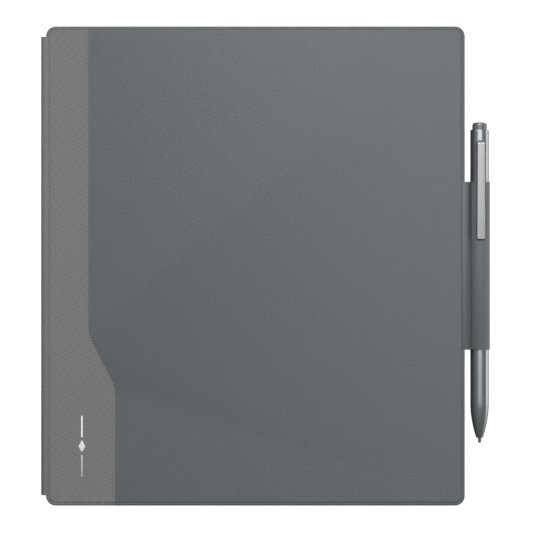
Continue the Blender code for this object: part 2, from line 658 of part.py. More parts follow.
def end_knob(materials, joint):
    """The dark end cap: a tube with a rounded end, and a lip inside that keeps the eraser in."""
    bore = 3.05 * MM
    lip_bore = ERASER_RADIUS + GAP
    lip_base = ERASER_FLANGE_TOP + GAP
    bottom = SWITCH_TOP - 2.5 * MM
    rounding = 1.2 * MM
    profile = [(lip_bore, KNOB_TOP)]
    profile += arc((KNOB_RADIUS - rounding, KNOB_TOP - rounding), rounding, 90, 0, 4)
    profile += [(KNOB_RADIUS, bottom), (bore, bottom), (bore, lip_base), (lip_bore, lip_base)]
    add_piece("end_knob", turned(profile, 28, closed=True), materials["pen_plastic"], joint)


def eraser(materials, joint):
    """The domed eraser on its flange, which stops under the end cap's lip."""
    flange = 2.7 * MM
    flange_base = SWITCH_TOP + 0.9 * MM
    rise = 1.0 * MM
    profile = [(0.0, flange_base), (flange, flange_base), (flange, ERASER_FLANGE_TOP),
               (ERASER_RADIUS, ERASER_FLANGE_TOP)]
    for angle in (0, 22, 45, 68):
        turn = math.radians(angle)
        profile.append((ERASER_RADIUS * math.cos(turn), DOME_TOP - rise * (1 - math.sin(turn))))
    profile.append((0.0, DOME_TOP))
    add_piece("eraser", turned(profile, 24), materials["eraser"], joint)


def roll_about_stylus(bm):
    """Turns what is drawn straight above the stylus axis to the clip's side of it."""
    bmesh.ops.rotate(bm, verts=bm.verts, cent=(PEN_X, 0, PEN_Z), matrix=Matrix.Rotation(CLIP_ROLL, 3, "Y"))
    return bm


def clip_height():
    """Distance from the stylus axis to the clip's underside."""
    return PEN_RADIUS + LOOP_CLEARANCE + LOOP_BAND + GAP


def clip_outline(flare):
    """The clip seen from above: tapered towards the knob, and round at its free end. Flare widens it."""
    half_top = CLIP_WIDTH / 2 - 0.1 * MM + flare
    half_bottom = CLIP_WIDTH / 2 + 0.1 * MM + flare
    corner = 0.7 * MM + flare
    bottom = CLIP_BOTTOM - flare
    outline = arc((PEN_X - half_bottom + corner, bottom + corner), corner, 180, 270, 4)
    outline += arc((PEN_X + half_bottom - corner, bottom + corner), corner, 270, 360, 4)
    return outline + [(PEN_X + half_top, CLIP_TOP), (PEN_X - half_top, CLIP_TOP)]


def clip(materials, pen_joint, clip_joint):
    """The clip, with flanks that flare towards the barrel, and the block that it is rooted on."""
    flare = 0.3 * MM
    underside = PEN_Z + clip_height()
    plate = stack([(underside, clip_outline(flare)), (underside + CLIP_THICKNESS, clip_outline(0.0))])
    add_piece("stylus_clip", roll_about_stylus(plate), materials["clip"], clip_joint)
    mount_half = 2.35 * MM
    mount_reach = 1.2 * MM
    mount_length = 6.2 * MM
    mount_top = CLIP_TOP + mount_reach
    mount = box((PEN_X - mount_half, mount_top - mount_length, PEN_Z + PEN_RADIUS + SHEET_GAP),
                (PEN_X + mount_half, mount_top, underside - SHEET_GAP))
    add_piece("clip_mount", roll_about_stylus(mount), materials["pen_plastic"], pen_joint)


# Assembly --------------------------------------------------------------------------------------

def make_materials():
    return {
        "leather": material("leather", (0.135, 0.140, 0.145), 0.55),
        "twill": material("twill", (0.185, 0.185, 0.187), 0.8),
        "board": material("board", (0.30, 0.27, 0.22), 0.9),
        "microfibre": material("microfibre", (0.09, 0.09, 0.095), 0.95),
        "magnet": material("magnet", (0.6, 0.6, 0.6), 0.3, 1.0),
        "tray": material("tray", (0.03, 0.03, 0.032), 0.5),
        "shell": material("shell", (0.05, 0.05, 0.053), 0.45),
        "magnesium": material("magnesium", (0.55, 0.56, 0.57), 0.4, 1.0),
        "battery": material("battery", (0.07, 0.07, 0.075), 0.4),
        "board_green": material("board_green", (0.02, 0.12, 0.05), 0.45),
        "chip": material("chip", (0.02, 0.02, 0.02), 0.4),
        "steel": material("steel", (0.62, 0.62, 0.63), 0.3, 1.0),
        "flex": material("flex", (0.45, 0.22, 0.05), 0.4),
        "digitizer": material("digitizer", (0.04, 0.09, 0.05), 0.5),
        "screen": material("screen", (0.62, 0.62, 0.60), 0.6),
        "acrylic": material("acrylic", (0.85, 0.86, 0.86), 0.1),
        "lens": material("lens", (0.03, 0.03, 0.032), 0.25),
        "pen_metal": material("pen_metal", (0.20, 0.20, 0.21), 0.3, 1.0),
        "pen_plastic": material("pen_plastic", (0.04, 0.04, 0.042), 0.4),
        "nib": material("nib", (0.05, 0.05, 0.05), 0.5),
        "ferrite": material("ferrite", (0.06, 0.06, 0.06), 0.7),
        "copper": material("copper", (0.72, 0.36, 0.2), 0.3, 1.0),
        "eraser": material("eraser", (0.75, 0.75, 0.73), 0.35),
        "clip": material("clip", (0.62, 0.62, 0.63), 0.3, 1.0),
    }


def build():
    for obj in list(bpy.data.objects):
        bpy.data.objects.remove(obj)
    materials = make_materials()
    spine_fold = joint_empty("spine_fold", (SPINE_AXIS_X, 0, LOWER_FOLD_Z))
    cover_fold = joint_empty("cover_fold", (SPINE_AXIS_X, 0, UPPER_FOLD_Z), spine_fold)
    loop_flex = joint_empty("loop_flex", (LOOP_FOLD_X, 0, LOOP_FOLD_Z), cover_fold)
    pen_slide = joint_empty("pen_slide", (PEN_X, 0, PEN_Z), loop_flex)
    nib_press = joint_empty("nib_press", (PEN_X, NIB_TIP, PEN_Z), pen_slide)
    eraser_press = joint_empty("eraser_press", (PEN_X, DOME_TOP, PEN_Z), pen_slide)
    root_height = clip_height()
    clip_root = (PEN_X + root_height * math.sin(CLIP_ROLL), CLIP_TOP - CLIP_PIVOT_INSET,
                 PEN_Z + root_height * math.cos(CLIP_ROLL))
    clip_flex = joint_empty("clip_flex", clip_root, pen_slide)
    button_press = joint_empty("power_button_press", (BUTTON_X, TABLET_HEIGHT / 2, BUTTON_Z))

    front_cover(materials, cover_fold)
    spine(materials, spine_fold)
    rear_cover(materials)
    holder_tray(materials)
    pen_loop(materials, loop_flex)

    rear_shell(materials)
    chassis(materials)
    electronics(materials)
    usb_socket(materials)
    power_button(materials, button_press)
    display(materials)

    barrel(materials, pen_slide)
    tip_cone(materials, pen_slide)
    nib(materials, nib_press)
    stylus_core(materials, pen_slide)
    end_knob(materials, pen_slide)
    eraser(materials, eraser_press)
    clip(materials, pen_slide, clip_flex)


build()
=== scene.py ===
"""The looks of the note tablet in its folio: skins, twill, stylus, light and camera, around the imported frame.

Lengths are in metres, in the frame's axes: +Z up through the closed folio, +Y along the spine.
"""

import json
import math

import bmesh
import bpy
from mathutils import Matrix, Vector

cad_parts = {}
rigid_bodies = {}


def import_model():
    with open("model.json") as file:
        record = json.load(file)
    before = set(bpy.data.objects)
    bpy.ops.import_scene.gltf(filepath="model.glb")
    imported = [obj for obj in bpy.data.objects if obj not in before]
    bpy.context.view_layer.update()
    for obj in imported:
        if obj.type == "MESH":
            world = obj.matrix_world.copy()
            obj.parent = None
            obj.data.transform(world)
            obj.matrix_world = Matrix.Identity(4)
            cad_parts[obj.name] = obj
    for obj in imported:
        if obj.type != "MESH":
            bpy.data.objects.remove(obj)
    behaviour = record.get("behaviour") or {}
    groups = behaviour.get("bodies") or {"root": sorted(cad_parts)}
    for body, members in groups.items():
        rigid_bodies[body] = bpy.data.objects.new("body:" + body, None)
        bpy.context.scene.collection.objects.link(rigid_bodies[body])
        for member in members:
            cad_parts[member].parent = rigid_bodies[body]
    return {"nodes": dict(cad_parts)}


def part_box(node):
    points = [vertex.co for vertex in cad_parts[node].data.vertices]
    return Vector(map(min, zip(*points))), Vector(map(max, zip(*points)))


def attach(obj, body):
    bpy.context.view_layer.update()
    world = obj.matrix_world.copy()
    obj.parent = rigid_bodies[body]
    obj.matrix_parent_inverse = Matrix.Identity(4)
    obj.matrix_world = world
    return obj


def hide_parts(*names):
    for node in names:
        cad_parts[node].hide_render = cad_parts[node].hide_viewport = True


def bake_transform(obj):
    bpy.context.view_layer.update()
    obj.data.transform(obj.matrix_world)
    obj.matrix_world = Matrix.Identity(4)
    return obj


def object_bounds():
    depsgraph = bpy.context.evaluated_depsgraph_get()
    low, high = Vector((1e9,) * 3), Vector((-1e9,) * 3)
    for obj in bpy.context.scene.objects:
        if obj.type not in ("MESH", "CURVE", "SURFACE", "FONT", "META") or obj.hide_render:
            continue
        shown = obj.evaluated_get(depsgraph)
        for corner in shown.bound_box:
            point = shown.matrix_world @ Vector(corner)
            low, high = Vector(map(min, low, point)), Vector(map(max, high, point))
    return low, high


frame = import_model()
cad_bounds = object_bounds()

MM = 0.001
ROOT = "tablet_and_rear_cover"


# Measures taken from the frame -----------------------------------------------------------------

skin_low, skin_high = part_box("front_cover_skin")
panel_low, panel_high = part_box("front_twill_panel")
rear_low, rear_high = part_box("rear_cover_skin")
spine_low, spine_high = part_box("spine_skin")
loop_low, loop_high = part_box("pen_loop")
barrel_low, barrel_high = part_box("stylus_barrel")
cone_low, cone_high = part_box("tip_cone")
nib_low, nib_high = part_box("nib")
knob_low, knob_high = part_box("end_knob")
eraser_low, eraser_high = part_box("eraser")
clip_low, clip_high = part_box("stylus_clip")
mount_low, mount_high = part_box("clip_mount")
screen_low, screen_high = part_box("paper_screen")

# The front cover. Its right side and its face are the skin's, and its left side is the panel's.
LEFT = panel_low.x
RIGHT = skin_high.x
HALF_HEIGHT = skin_high.y
TOP = skin_high.z
INNER = skin_low.z

# The stylus.
PEN_X = (barrel_low.x + barrel_high.x) / 2
PEN_Z = (barrel_low.z + barrel_high.z) / 2
PEN_RADIUS = (barrel_high.x - barrel_low.x) / 2
NIB_RADIUS = (nib_high.x - nib_low.x) / 2
CONE_SEAM = (barrel_low.y + cone_high.y) / 2


# Measures of the shapes ------------------------------------------------------------------------

# The covers' corners, and how far in from the edge the pressed border groove lies.
CORNER = 4.7 * MM
GROOVE_INSET = 1.5 * MM

# The thickness of a strip: the spine's twill and the pen loop.
STRIP = 0.3 * MM

# How far the twill lies below the leather's face.
LAP = 0.10 * MM

# The twill panel's edge steps in towards the open side, low on the cover.
STEP_WIDTH = 13.0 * MM
STEP_Y = -45.8 * MM
STEP_ARC = 19.4 * MM
STEP_SLANT = math.radians(27.3)

# Twill: ribs that fall away to the right, and the threads across them.
RIB_PITCH = 1.19 * MM
RIB_FALL = math.radians(18.0)
THREAD_PITCH = 0.45 * MM

# The foil mark on the twill.
MARK_X = -89.0 * MM
MARK_Y = -87.3 * MM

# The ruled lines of the e-paper page.
LINE_PITCH = 8.0 * MM
LINE_SHARE = 0.03

# The stylus: how far the clip is turned about its axis, and the eraser's dome.
CLIP_ROLL = math.radians(7.0)
ERASER_RADIUS = 1.95 * MM


# Node trees ------------------------------------------------------------------------------------

class NodeTree:
    """A node tree being built."""

    def __init__(self, tree):
        self.tree = tree

    def feed(self, socket, value):
        """Links a socket to another node's output, or sets it to a constant."""
        if isinstance(value, bpy.types.NodeSocket):
            self.tree.links.new(value, socket)
        else:
            socket.default_value = value

    def node(self, kind, **settings):
        """Adds a node. Settings are its inputs by name, or its properties where it has no such input."""
        made = self.tree.nodes.new(kind)
        for name, value in settings.items():
            socket = made.inputs.get(name.replace("_", " "))
            if socket is None:
                setattr(made, name, value)
            else:
                self.feed(socket, value)
        return made

    def math(self, operation, first, second=0.0):
        """A sum of two values, each of them a number or another node's output."""
        made = self.node("ShaderNodeMath", operation=operation)
        self.feed(made.inputs[0], first)
        self.feed(made.inputs[1], second)
        return made.outputs[0]

    def wave(self, along, pitch):
        """The phase, in radians, of something that repeats at a pitch."""
        return self.math("MULTIPLY", along, 2 * math.pi / pitch)

    def spread(self, value, low, high, from_low=0.3, from_high=0.7):
        """Maps a range, such as a texture's middle one, onto another range."""
        made = self.node("ShaderNodeMapRange", Value=value, From_Min=from_low, From_Max=from_high, To_Min=low,
                         To_Max=high)
        return made.outputs[0]

    def parts(self, vector):
        """A vector's X, Y and Z."""
        return self.node("ShaderNodeSeparateXYZ", Vector=vector).outputs


class Finish(NodeTree):
    """A material being built: one Principled shader, and the textures that feed it."""

    def __init__(self, name, **constants):
        self.material = bpy.data.materials.new(name)
        self.material.use_nodes = True
        super().__init__(self.material.node_tree)
        self.shader = self.tree.nodes["Principled BSDF"]
        for socket, value in constants.items():
            self.shader.inputs[socket.replace("_", " ")].default_value = value

    def place(self, source="Object", stretch=(1.0, 1.0, 1.0), turn=0.0):
        """Coordinates in metres, from the object or from the flat cut of a skin, stretched or turned."""
        coordinates = self.node("ShaderNodeTexCoord").outputs[source]
        return self.node("ShaderNodeMapping", Vector=coordinates, Scale=stretch,
                         Rotation=(0.0, 0.0, turn)).outputs[0]

    def noise(self, place, size, detail=2.0, roughness=0.5):
        """Soft noise whose features are about one size across."""
        return self.node("ShaderNodeTexNoise", Vector=place, Scale=1.0 / size, Detail=detail,
                         Roughness=roughness).outputs["Fac"]

    def cells(self, place, size):
        """Distance to the nearest point of a scattered grain."""
        return self.node("ShaderNodeTexVoronoi", Vector=place, Scale=1.0 / size).outputs["Distance"]

    def mix(self, share, low, high):
        """A colour between two, by a share from 0 to 1. Each is a colour or the output of another mix."""
        made = self.node("ShaderNodeMix", data_type="RGBA")
        self.feed(made.inputs[0], share)
        # The mix node has sockets for each kind of value. These are its colour ones.
        for socket, value in ((made.inputs[6], low), (made.inputs[7], high)):
            self.feed(socket, value if isinstance(value, bpy.types.NodeSocket) else (*value, 1.0))
        return made.outputs[2]

    def pressed(self):
        """How much a skin is darkened at each place, by wear and by painted shade."""
        return self.node("ShaderNodeAttribute", attribute_name="pressed").outputs["Fac"]

    def colour(self, socket):
        self.tree.links.new(socket, self.shader.inputs["Base Color"])

    def roughness(self, socket):
        self.tree.links.new(socket, self.shader.inputs["Roughness"])

    def bump(self, height, distance):
        made = self.node("ShaderNodeBump", Height=height, Distance=distance, Strength=1.0)
        self.tree.links.new(made.outputs[0], self.shader.inputs["Normal"])


def shade(colour, factor):
    """A colour made lighter or darker."""
    return tuple(channel * factor for channel in colour)


# Materials -------------------------------------------------------------------------------------

def leather():
    """Dark coated skin: pebble grain, faint mottling, and a darker tone where it is marked: painted shade in
    grooves, at edges and in creases, and wear at the loop's ends.
    """
    base = (0.1120, 0.1179, 0.1226)
    made = Finish("folio_leather", Specular_IOR_Level=0.25)
    flat = made.place("UV")
    pebble = made.cells(flat, 0.62 * MM)
    fine = made.noise(flat, 0.42 * MM, 2.0, 0.6)
    mottle = made.noise(flat, 16.0 * MM, 3.0)
    grain = made.mix(made.spread(fine, 0.0, 1.0, 0.35, 0.65), shade(base, 0.52), shade(base, 1.48))
    smooth = made.mix(fine, shade(base, 0.93), shade(base, 1.06))
    tone = made.mix(made.spread(mottle, 0.0, 1.0), grain, smooth)
    darkening = made.pressed()
    # Darker where marked: mostly painted shade, with wear at the loop's ends.
    made.colour(made.mix(darkening, tone, shade(base, 0.72)))
    made.roughness(made.math("ADD", made.spread(fine, 0.40, 0.56), made.math("MULTIPLY", darkening, 0.25)))
    made.bump(made.math("ADD", pebble, made.math("MULTIPLY", fine, 0.8)), 0.07 * MM)
    return made.material


def twill():
    """Woven spine cloth: diagonal ribs of short threads, with slight colour changes from yarn to yarn."""
    base = (0.187, 0.187, 0.187)
    made = Finish("spine_twill", Sheen_Weight=0.05, Sheen_Roughness=0.5, Specular_IOR_Level=0.06)
    across = made.parts(made.place("UV", turn=RIB_FALL))
    wander = made.spread(made.noise(made.place("UV"), 3.0 * MM), -0.05, 0.05)
    rib_phase = made.math("ADD", made.wave(across["Y"], RIB_PITCH), wander)
    rib = made.spread(made.math("SINE", rib_phase), 0.0, 1.0, -1.0, 1.0)
    stagger = made.math("MULTIPLY", rib_phase, 0.5)
    thread_phase = made.math("ADD", made.wave(across["X"], THREAD_PITCH), stagger)
    thread = made.spread(made.math("SINE", thread_phase), 0.0, 1.0, -1.0, 1.0)
    yarn = made.noise(made.place("UV", (0.25, 1.0, 1.0), RIB_FALL), 0.8 * MM)
    ribbed = made.mix(rib, shade(base, 0.78), shade(base, 1.20))
    threaded = made.mix(made.spread(thread, 0.0, 0.16, 0.0, 1.0), ribbed, shade(base, 0.62))
    toned = made.mix(made.spread(yarn, 0.0, 0.25), threaded, shade(base, 1.25))
    # Darker where marked: painted shade at the spine's outer edge and towards the border groove.
    made.colour(made.mix(made.pressed(), toned, shade(base, 0.70)))
    made.roughness(made.spread(yarn, 0.75, 0.9))
    made.bump(made.math("ADD", rib, made.math("MULTIPLY", thread, 0.35)), 0.10 * MM)
    return made.material


def satin_metal(name, base, roughness, along=(1.0, 0.04, 1.0), streak=0.12, metallic=1.0):
    """Metal with a fine finish drawn along one direction, and faint handling marks. Streak scales both."""
    made = Finish(name, Metallic=metallic)
    drawn = made.noise(made.place(stretch=along), 0.14 * MM, 3.0, 0.6)
    marks = made.noise(made.place(), 7.0 * MM, 3.0)
    darker = shade(base, 1.0 - streak / 2)
    lighter = shade(base, 1.0 + streak / 2)
    tone = made.mix(made.spread(drawn, 0.0, 1.0), darker, lighter)
    made.colour(made.mix(made.spread(marks, 0.0, streak), tone, shade(base, 0.88)))
    drawn_share = made.spread(drawn, -0.1 * streak, 0.1 * streak)
    marked_share = made.spread(marks, roughness - 0.1 * streak, roughness + 0.2 * streak)
    made.roughness(made.math("ADD", drawn_share, marked_share))
    made.bump(drawn, streak * 0.005 * MM)
    return made.material


def silver_foil():
    """Stamped foil, bright at the head of the mark and darker towards its foot."""
    base = (0.84, 0.84, 0.84)
    foot_y = MARK_Y - 12.7 * MM
    head_y = MARK_Y + 5.3 * MM
    made = Finish("silver_foil", Metallic=0.25)
    place = made.place()
    fleck = made.noise(place, 0.3 * MM)
    darkening = made.spread(made.parts(place)["Y"], 1.0, 0.0, foot_y, head_y)
    tone = made.mix(fleck, shade(base, 0.95), base)
    made.colour(made.mix(darkening, tone, shade(base, 0.48)))
    made.roughness(made.spread(fleck, 0.38, 0.5))
    made.bump(fleck, 0.004 * MM)
    return made.material


def moulded(name, base, roughness, texture=0.25 * MM, depth=0.012 * MM, spark=0.10, **constants):
    """Moulded plastic or another fine even surface: spark-eroded texture and slight tone changes."""
    made = Finish(name, **constants)
    place = made.place()
    fine = made.noise(place, texture, 2.0, 0.6)
    broad = made.noise(place, 12.0 * MM)
    tone = made.mix(made.spread(fine, 0.0, 1.0), shade(base, 1.0 - spark), shade(base, 1.0 + spark))
    made.colour(made.mix(made.spread(broad, 0.0, 0.3), tone, shade(base, 1.0 + spark)))
    made.roughness(made.spread(fine, roughness - 0.05, roughness + 0.05))
    made.bump(fine, depth)
    return made.material


def microfibre():
    """Brushed lining: a nap with soft patches where it leans different ways."""
    base = (0.062, 0.063, 0.066)
    made = Finish("folio_microfibre", Sheen_Weight=0.5, Sheen_Roughness=0.4, Specular_IOR_Level=0.1)
    nap = made.noise(made.place(), 0.35 * MM, 3.0, 0.7)
    patches = made.noise(made.place(stretch=(1.0, 0.6, 1.0)), 14.0 * MM, 3.0)
    tone = made.mix(made.spread(nap, 0.0, 1.0), shade(base, 0.7), shade(base, 1.35))
    made.colour(made.mix(made.spread(patches, 0.0, 0.55), tone, shade(base, 1.5)))
    made.roughness(made.spread(nap, 0.85, 1.0))
    made.bump(nap, 0.08 * MM)
    return made.material


def ruled_line(made, height):
    """1 on the page's ruled lines and 0 between them."""
    cycle = made.math("FRACT", made.math("MULTIPLY", height, 1.0 / LINE_PITCH))
    return made.math("LESS_THAN", cycle, LINE_SHARE)


def paper_screen():
    """The e-paper page: warm grey with the speckle of its microcapsules, and faint ruled lines."""
    base = (0.56, 0.56, 0.54)
    made = Finish("e_paper_page", Specular_IOR_Level=0.35, Coat_Weight=0.25, Coat_Roughness=0.35)
    place = made.place()
    speckle = made.noise(place, 0.2 * MM, 2.0, 0.6)
    line = ruled_line(made, made.parts(place)["Y"])
    page = made.mix(made.spread(speckle, 0.0, 1.0), shade(base, 0.95), shade(base, 1.04))
    made.colour(made.mix(made.math("MULTIPLY", line, 0.35), page, shade(base, 0.25)))
    made.roughness(made.spread(speckle, 0.5, 0.6))
    made.bump(speckle, 0.004 * MM)
    return made.material


def front_lens():
    """Etched cover glass laminated to the page: a black printed border round the ruled e-paper."""
    page = (0.50, 0.50, 0.48)
    border = (0.012, 0.012, 0.013)
    border_lap = Vector((3.85, 3.15, 0.0)) * MM
    half = (screen_high - screen_low) / 2 - border_lap
    centre = (screen_high + screen_low) / 2
    made = Finish("front_lens_glass", Specular_IOR_Level=0.5, Coat_Weight=0.3, Coat_Roughness=0.22)
    place = made.place()
    speckle = made.noise(place, 0.2 * MM, 2.0, 0.6)
    parts = made.parts(place)
    within = []
    for axis, middle, reach in (("X", centre.x, half.x), ("Y", centre.y, half.y)):
        off = made.math("ABSOLUTE", made.math("SUBTRACT", parts[axis], middle))
        within.append(made.math("LESS_THAN", off, reach))
    window = made.math("MULTIPLY", *within)
    line = made.math("MULTIPLY", ruled_line(made, parts["Y"]), 0.4)
    paper = made.mix(made.spread(speckle, 0.0, 1.0), shade(page, 0.96), shade(page, 1.04))
    ruled = made.mix(line, paper, shade(page, 0.3))
    ink = made.mix(made.spread(speckle, 0.0, 1.0), border, shade(border, 1.6))
    made.colour(made.mix(window, ink, ruled))
    made.roughness(made.spread(speckle, 0.38, 0.46))
    made.bump(speckle, 0.003 * MM)
    return made.material


def circuit_board(name, mask, trace):
    """Solder mask over copper: a mesh of fine traces, and a faint weave of the glass cloth below."""
    mesh_pitch = 6.0 * MM
    made = Finish(name, Specular_IOR_Level=0.5)
    place = made.place()
    weave = made.noise(place, 0.4 * MM, 1.0)
    mesh = made.node("ShaderNodeTexBrick", Vector=place, Scale=1.0 / mesh_pitch, Mortar_Size=0.03)
    lines = mesh.outputs["Fac"]
    tone = made.mix(made.spread(weave, 0.0, 1.0), shade(mask, 0.85), shade(mask, 1.15))
    made.colour(made.mix(made.math("MULTIPLY", lines, 0.6), tone, trace))
    made.roughness(made.spread(weave, 0.35, 0.5))
    made.bump(lines, 0.02 * MM)
    return made.material


def wound_copper():
    """Enamelled wire in close turns along the stylus."""
    wire = 0.12 * MM
    base = (0.72, 0.30, 0.12)
    made = Finish("coil_copper", Metallic=1.0)
    along = made.parts(made.place())["Y"]
    turn = made.spread(made.math("SINE", made.wave(along, wire)), 0.0, 1.0, -1.0, 1.0)
    made.colour(made.mix(turn, shade(base, 0.45), base))
    made.roughness(made.spread(turn, 0.45, 0.25, 0.0, 1.0))
    made.bump(turn, 0.03 * MM)
    return made.material


leather_finish = leather()
twill_finish = twill()
microfibre_finish = microfibre()
pen_finish = satin_metal("pen_paint", (0.278, 0.2835, 0.304), 0.28, streak=0.03, metallic=0.82)
knob_finish = moulded("knob_plastic", (0.105, 0.105, 0.108), 0.27, spark=0.05, Specular_IOR_Level=0.6)
mount_finish = moulded("mount_plastic", (0.075, 0.075, 0.078), 0.5, spark=0.05)
clip_finish = satin_metal("clip_steel", (0.305, 0.305, 0.305), 0.52, (1.0, 0.03, 1.0), 0.10, metallic=0.3)
# A near-black finish for the sheet under the clip: a painted shadow.
painted_shadow_finish = moulded("clip_carrier", (0.028, 0.028, 0.03), 0.6, spark=0.05, Specular_IOR_Level=0.3)
foil_finish = silver_foil()
nib_finish = moulded("nib_polymer", (0.11, 0.11, 0.11), 0.45)
eraser_finish = moulded("eraser_milky", (0.70, 0.70, 0.69), 0.35)


# Shapes ----------------------------------------------------------------------------------------

def arc(centre, radius, start, end, steps):
    """Points along an arc in a plane, from one angle to another in degrees."""
    points = []
    for step in range(steps + 1):
        angle = math.radians(start + (end - start) * step / steps)
        points.append((centre[0] + radius * math.cos(angle), centre[1] + radius * math.sin(angle)))
    return points


def bezier(start, start_pull, end_pull, end, steps):
    """Points along a cubic curve, without its first point."""
    points = []
    corners = (start, start_pull, end_pull, end)
    for step in range(1, steps + 1):
        t = step / steps
        weights = ((1 - t) ** 3, 3 * t * (1 - t) ** 2, 3 * t * t * (1 - t), t ** 3)
        points.append(tuple(sum(w * c[k] for w, c in zip(weights, corners)) for k in (0, 1)))
    return points


def straight(start, end, steps):
    """Points along a line, without its first point."""
    return [tuple(a + (b - a) * step / steps for a, b in zip(start, end)) for step in range(1, steps + 1)]


def rectangle(low, high, corner, inset=0.0, steps=12):
    """A rectangle's outline in XY with round corners, anticlockwise, drawn in by an inset."""
    least_corner = 0.3 * MM
    radius = max(corner - inset, least_corner)
    points = []
    for quarter, (side_x, side_y) in enumerate(((1, 1), (-1, 1), (-1, -1), (1, -1))):
        x = (high if side_x > 0 else low).x - side_x * (inset + radius)
        y = (high if side_y > 0 else low).y - side_y * (inset + radius)
        points += arc((x, y), radius, 90 * quarter, 90 * quarter + 90, steps)
    return points


def at_height(outline, z):
    """A flat outline as a ring of points at one height."""
    return [(x, y, z) for x, y in outline]


def loft(rings, closed=False):
    """Faces between rings of equal point count, with a cap on each end, or the two ends joined."""
    bm = bmesh.new()
    made = [[bm.verts.new(point) for point in ring] for ring in rings]
    pairs = list(zip(made, made[1:]))
    if closed:
        pairs.append((made[-1], made[0]))
    for ring, following in pairs:
        for index in range(len(ring)):
            after = (index + 1) % len(ring)
            bm.faces.new((ring[index], ring[after], following[after], following[index]))
    if not closed:
        bm.faces.new(made[0])
        bm.faces.new(made[-1])
    bmesh.ops.recalc_face_normals(bm, faces=bm.faces)
    return bm


def place_flat(mesh, places):
    """Gives every vertex its place, in metres, on the flat cut of the skin."""
    layer = mesh.uv_layers.new(name="flat")
    for loop in mesh.loops:
        layer.data[loop.index].uv = places[loop.vertex_index]


def mark_wear_and_shade(mesh, shares):
    """Says how much each vertex is darkened, from 0 to 1, by wear and by painted shade."""
    layer = mesh.attributes.new("pressed", "FLOAT", "POINT")
    layer.data.foreach_set("value", shares)


def give_material(mesh, finish):
    """Makes a finish a mesh's one material."""
    mesh.materials.clear()
    mesh.materials.append(finish)


def shade_smooth(mesh):
    """Smooth shading, with the sharp edges of the shape left sharp."""
    mesh.shade_smooth()
    mesh.set_sharp_from_angle(angle=math.radians(38))


def add_piece(name, bm, finish, body=None, replaces=(), places=None, shares=None):
    """Turns a bmesh into a named piece, which rides on a body if one is given."""
    mesh = bpy.data.meshes.new(name)
    bm.to_mesh(mesh)
    bm.free()
    if places:
        place_flat(mesh, places)
    if shares:
        mark_wear_and_shade(mesh, shares)
    give_material(mesh, finish)
    shade_smooth(mesh)
    piece = bpy.data.objects.new(name, mesh)
    bpy.context.scene.collection.objects.link(piece)
    if replaces:
        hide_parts(*replaces)
    if body:
        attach(piece, body)
    return piece


def boolean(piece, cutter_bm, operation):
    """Cuts a piece with a solid, or keeps what lies inside it, and stores the result in its mesh."""
    cutter_mesh = bpy.data.meshes.new("cutter")
    cutter_bm.to_mesh(cutter_mesh)
    cutter_bm.free()
    cutter = bpy.data.objects.new("cutter", cutter_mesh)
    bpy.context.scene.collection.objects.link(cutter)
    modifier = piece.modifiers.new("cut", "BOOLEAN")
    modifier.operation = operation
    modifier.solver = "EXACT"
    modifier.object = cutter
    evaluated = piece.evaluated_get(bpy.context.evaluated_depsgraph_get())
    result = bpy.data.meshes.new_from_object(evaluated)
    piece.modifiers.clear()
    before = piece.data
    piece.data = result
    bpy.data.meshes.remove(before)
    bpy.data.objects.remove(cutter)
    bpy.data.meshes.remove(cutter_mesh)
    result.name = piece.name


def band(name, path, low_y, high_y, finish, wear_and_shade_at, replaces=(), origin=0.0, direction=1):
    """A strip that follows a path in XZ, with soft ends, darkened at each place by wear and by painted shade as
    a given function says.

    On its flat cut the path's length counts from an origin, up or down by the direction.
    """
    edge = STRIP * 0.4
    soft_end = [(0.0, 0.45), (edge * 0.4, 0.8), (edge, 1.0)]
    ends = [(low_y + run, share) for run, share in soft_end]
    ends += [(high_y - run, share) for run, share in reversed(soft_end)]
    length = 0.0
    sides = []
    for index, (x, z) in enumerate(path):
        before = path[max(index - 1, 0)]
        after = path[min(index + 1, len(path) - 1)]
        along = Vector((after[0] - before[0], after[1] - before[1])).normalized()
        out = Vector((-along.y, along.x)) * STRIP / 2
        if index:
            length += math.dist(path[index - 1], path[index])
        sides.append((x, z, out, origin + direction * length))
    rings = []
    places = []
    shares = []
    for y, share in ends:
        loop = [(x + out.x * share, z + out.y * share, u) for x, z, out, u in sides]
        loop += [(x - out.x * share, z - out.y * share, u) for x, z, out, u in reversed(sides)]
        rings.append([(x, y, z) for x, z, u in loop])
        places += [(u, y) for x, z, u in loop]
        shares += [wear_and_shade_at(x, z, share) for x, z, u in loop]
    return add_piece(name, loft(rings), finish, None, replaces, places, shares)


def turned(profile, segments=64, closed=False):
    """A profile of (radius, y) points turned about the stylus axis. A closed profile makes a tube."""
    rings = []
    for radius, y in profile:
        circle = arc((PEN_X, PEN_Z), radius, 0, 360, segments)[:-1]
        rings.append([(x, y, z) for x, z in circle])
    return loft(rings, closed)


def rolled(bm):
    """Turns what is drawn straight above the stylus axis to the clip's side of it."""
    turn = Matrix.Rotation(CLIP_ROLL, 3, "Y")
    bmesh.ops.rotate(bm, verts=bm.verts, cent=(PEN_X, 0, PEN_Z), matrix=turn)
    return bm


# Camera, floor and lights ----------------------------------------------------------------------

def camera():
    """Looks straight down from far off, so that the folio shows next to no perspective."""
    view_width = 258.25 * MM
    distance = 5.0
    sensor = 36.0
    aim = Vector((0.44 * MM, -0.24 * MM, TOP))
    data = bpy.data.cameras.new("camera")
    data.sensor_width = sensor
    data.lens = sensor * distance / view_width
    data.clip_start = 0.1
    data.clip_end = 100.0
    made = bpy.data.objects.new("camera", data)
    made.location = aim + Vector((0.0, 0.0, distance))
    bpy.context.scene.collection.objects.link(made)
    bpy.context.scene.camera = made


def colours():
    """Colours are shown as they are, without a film look."""
    settings = bpy.context.scene.view_settings
    settings.view_transform = "Standard"
    settings.look = "None"


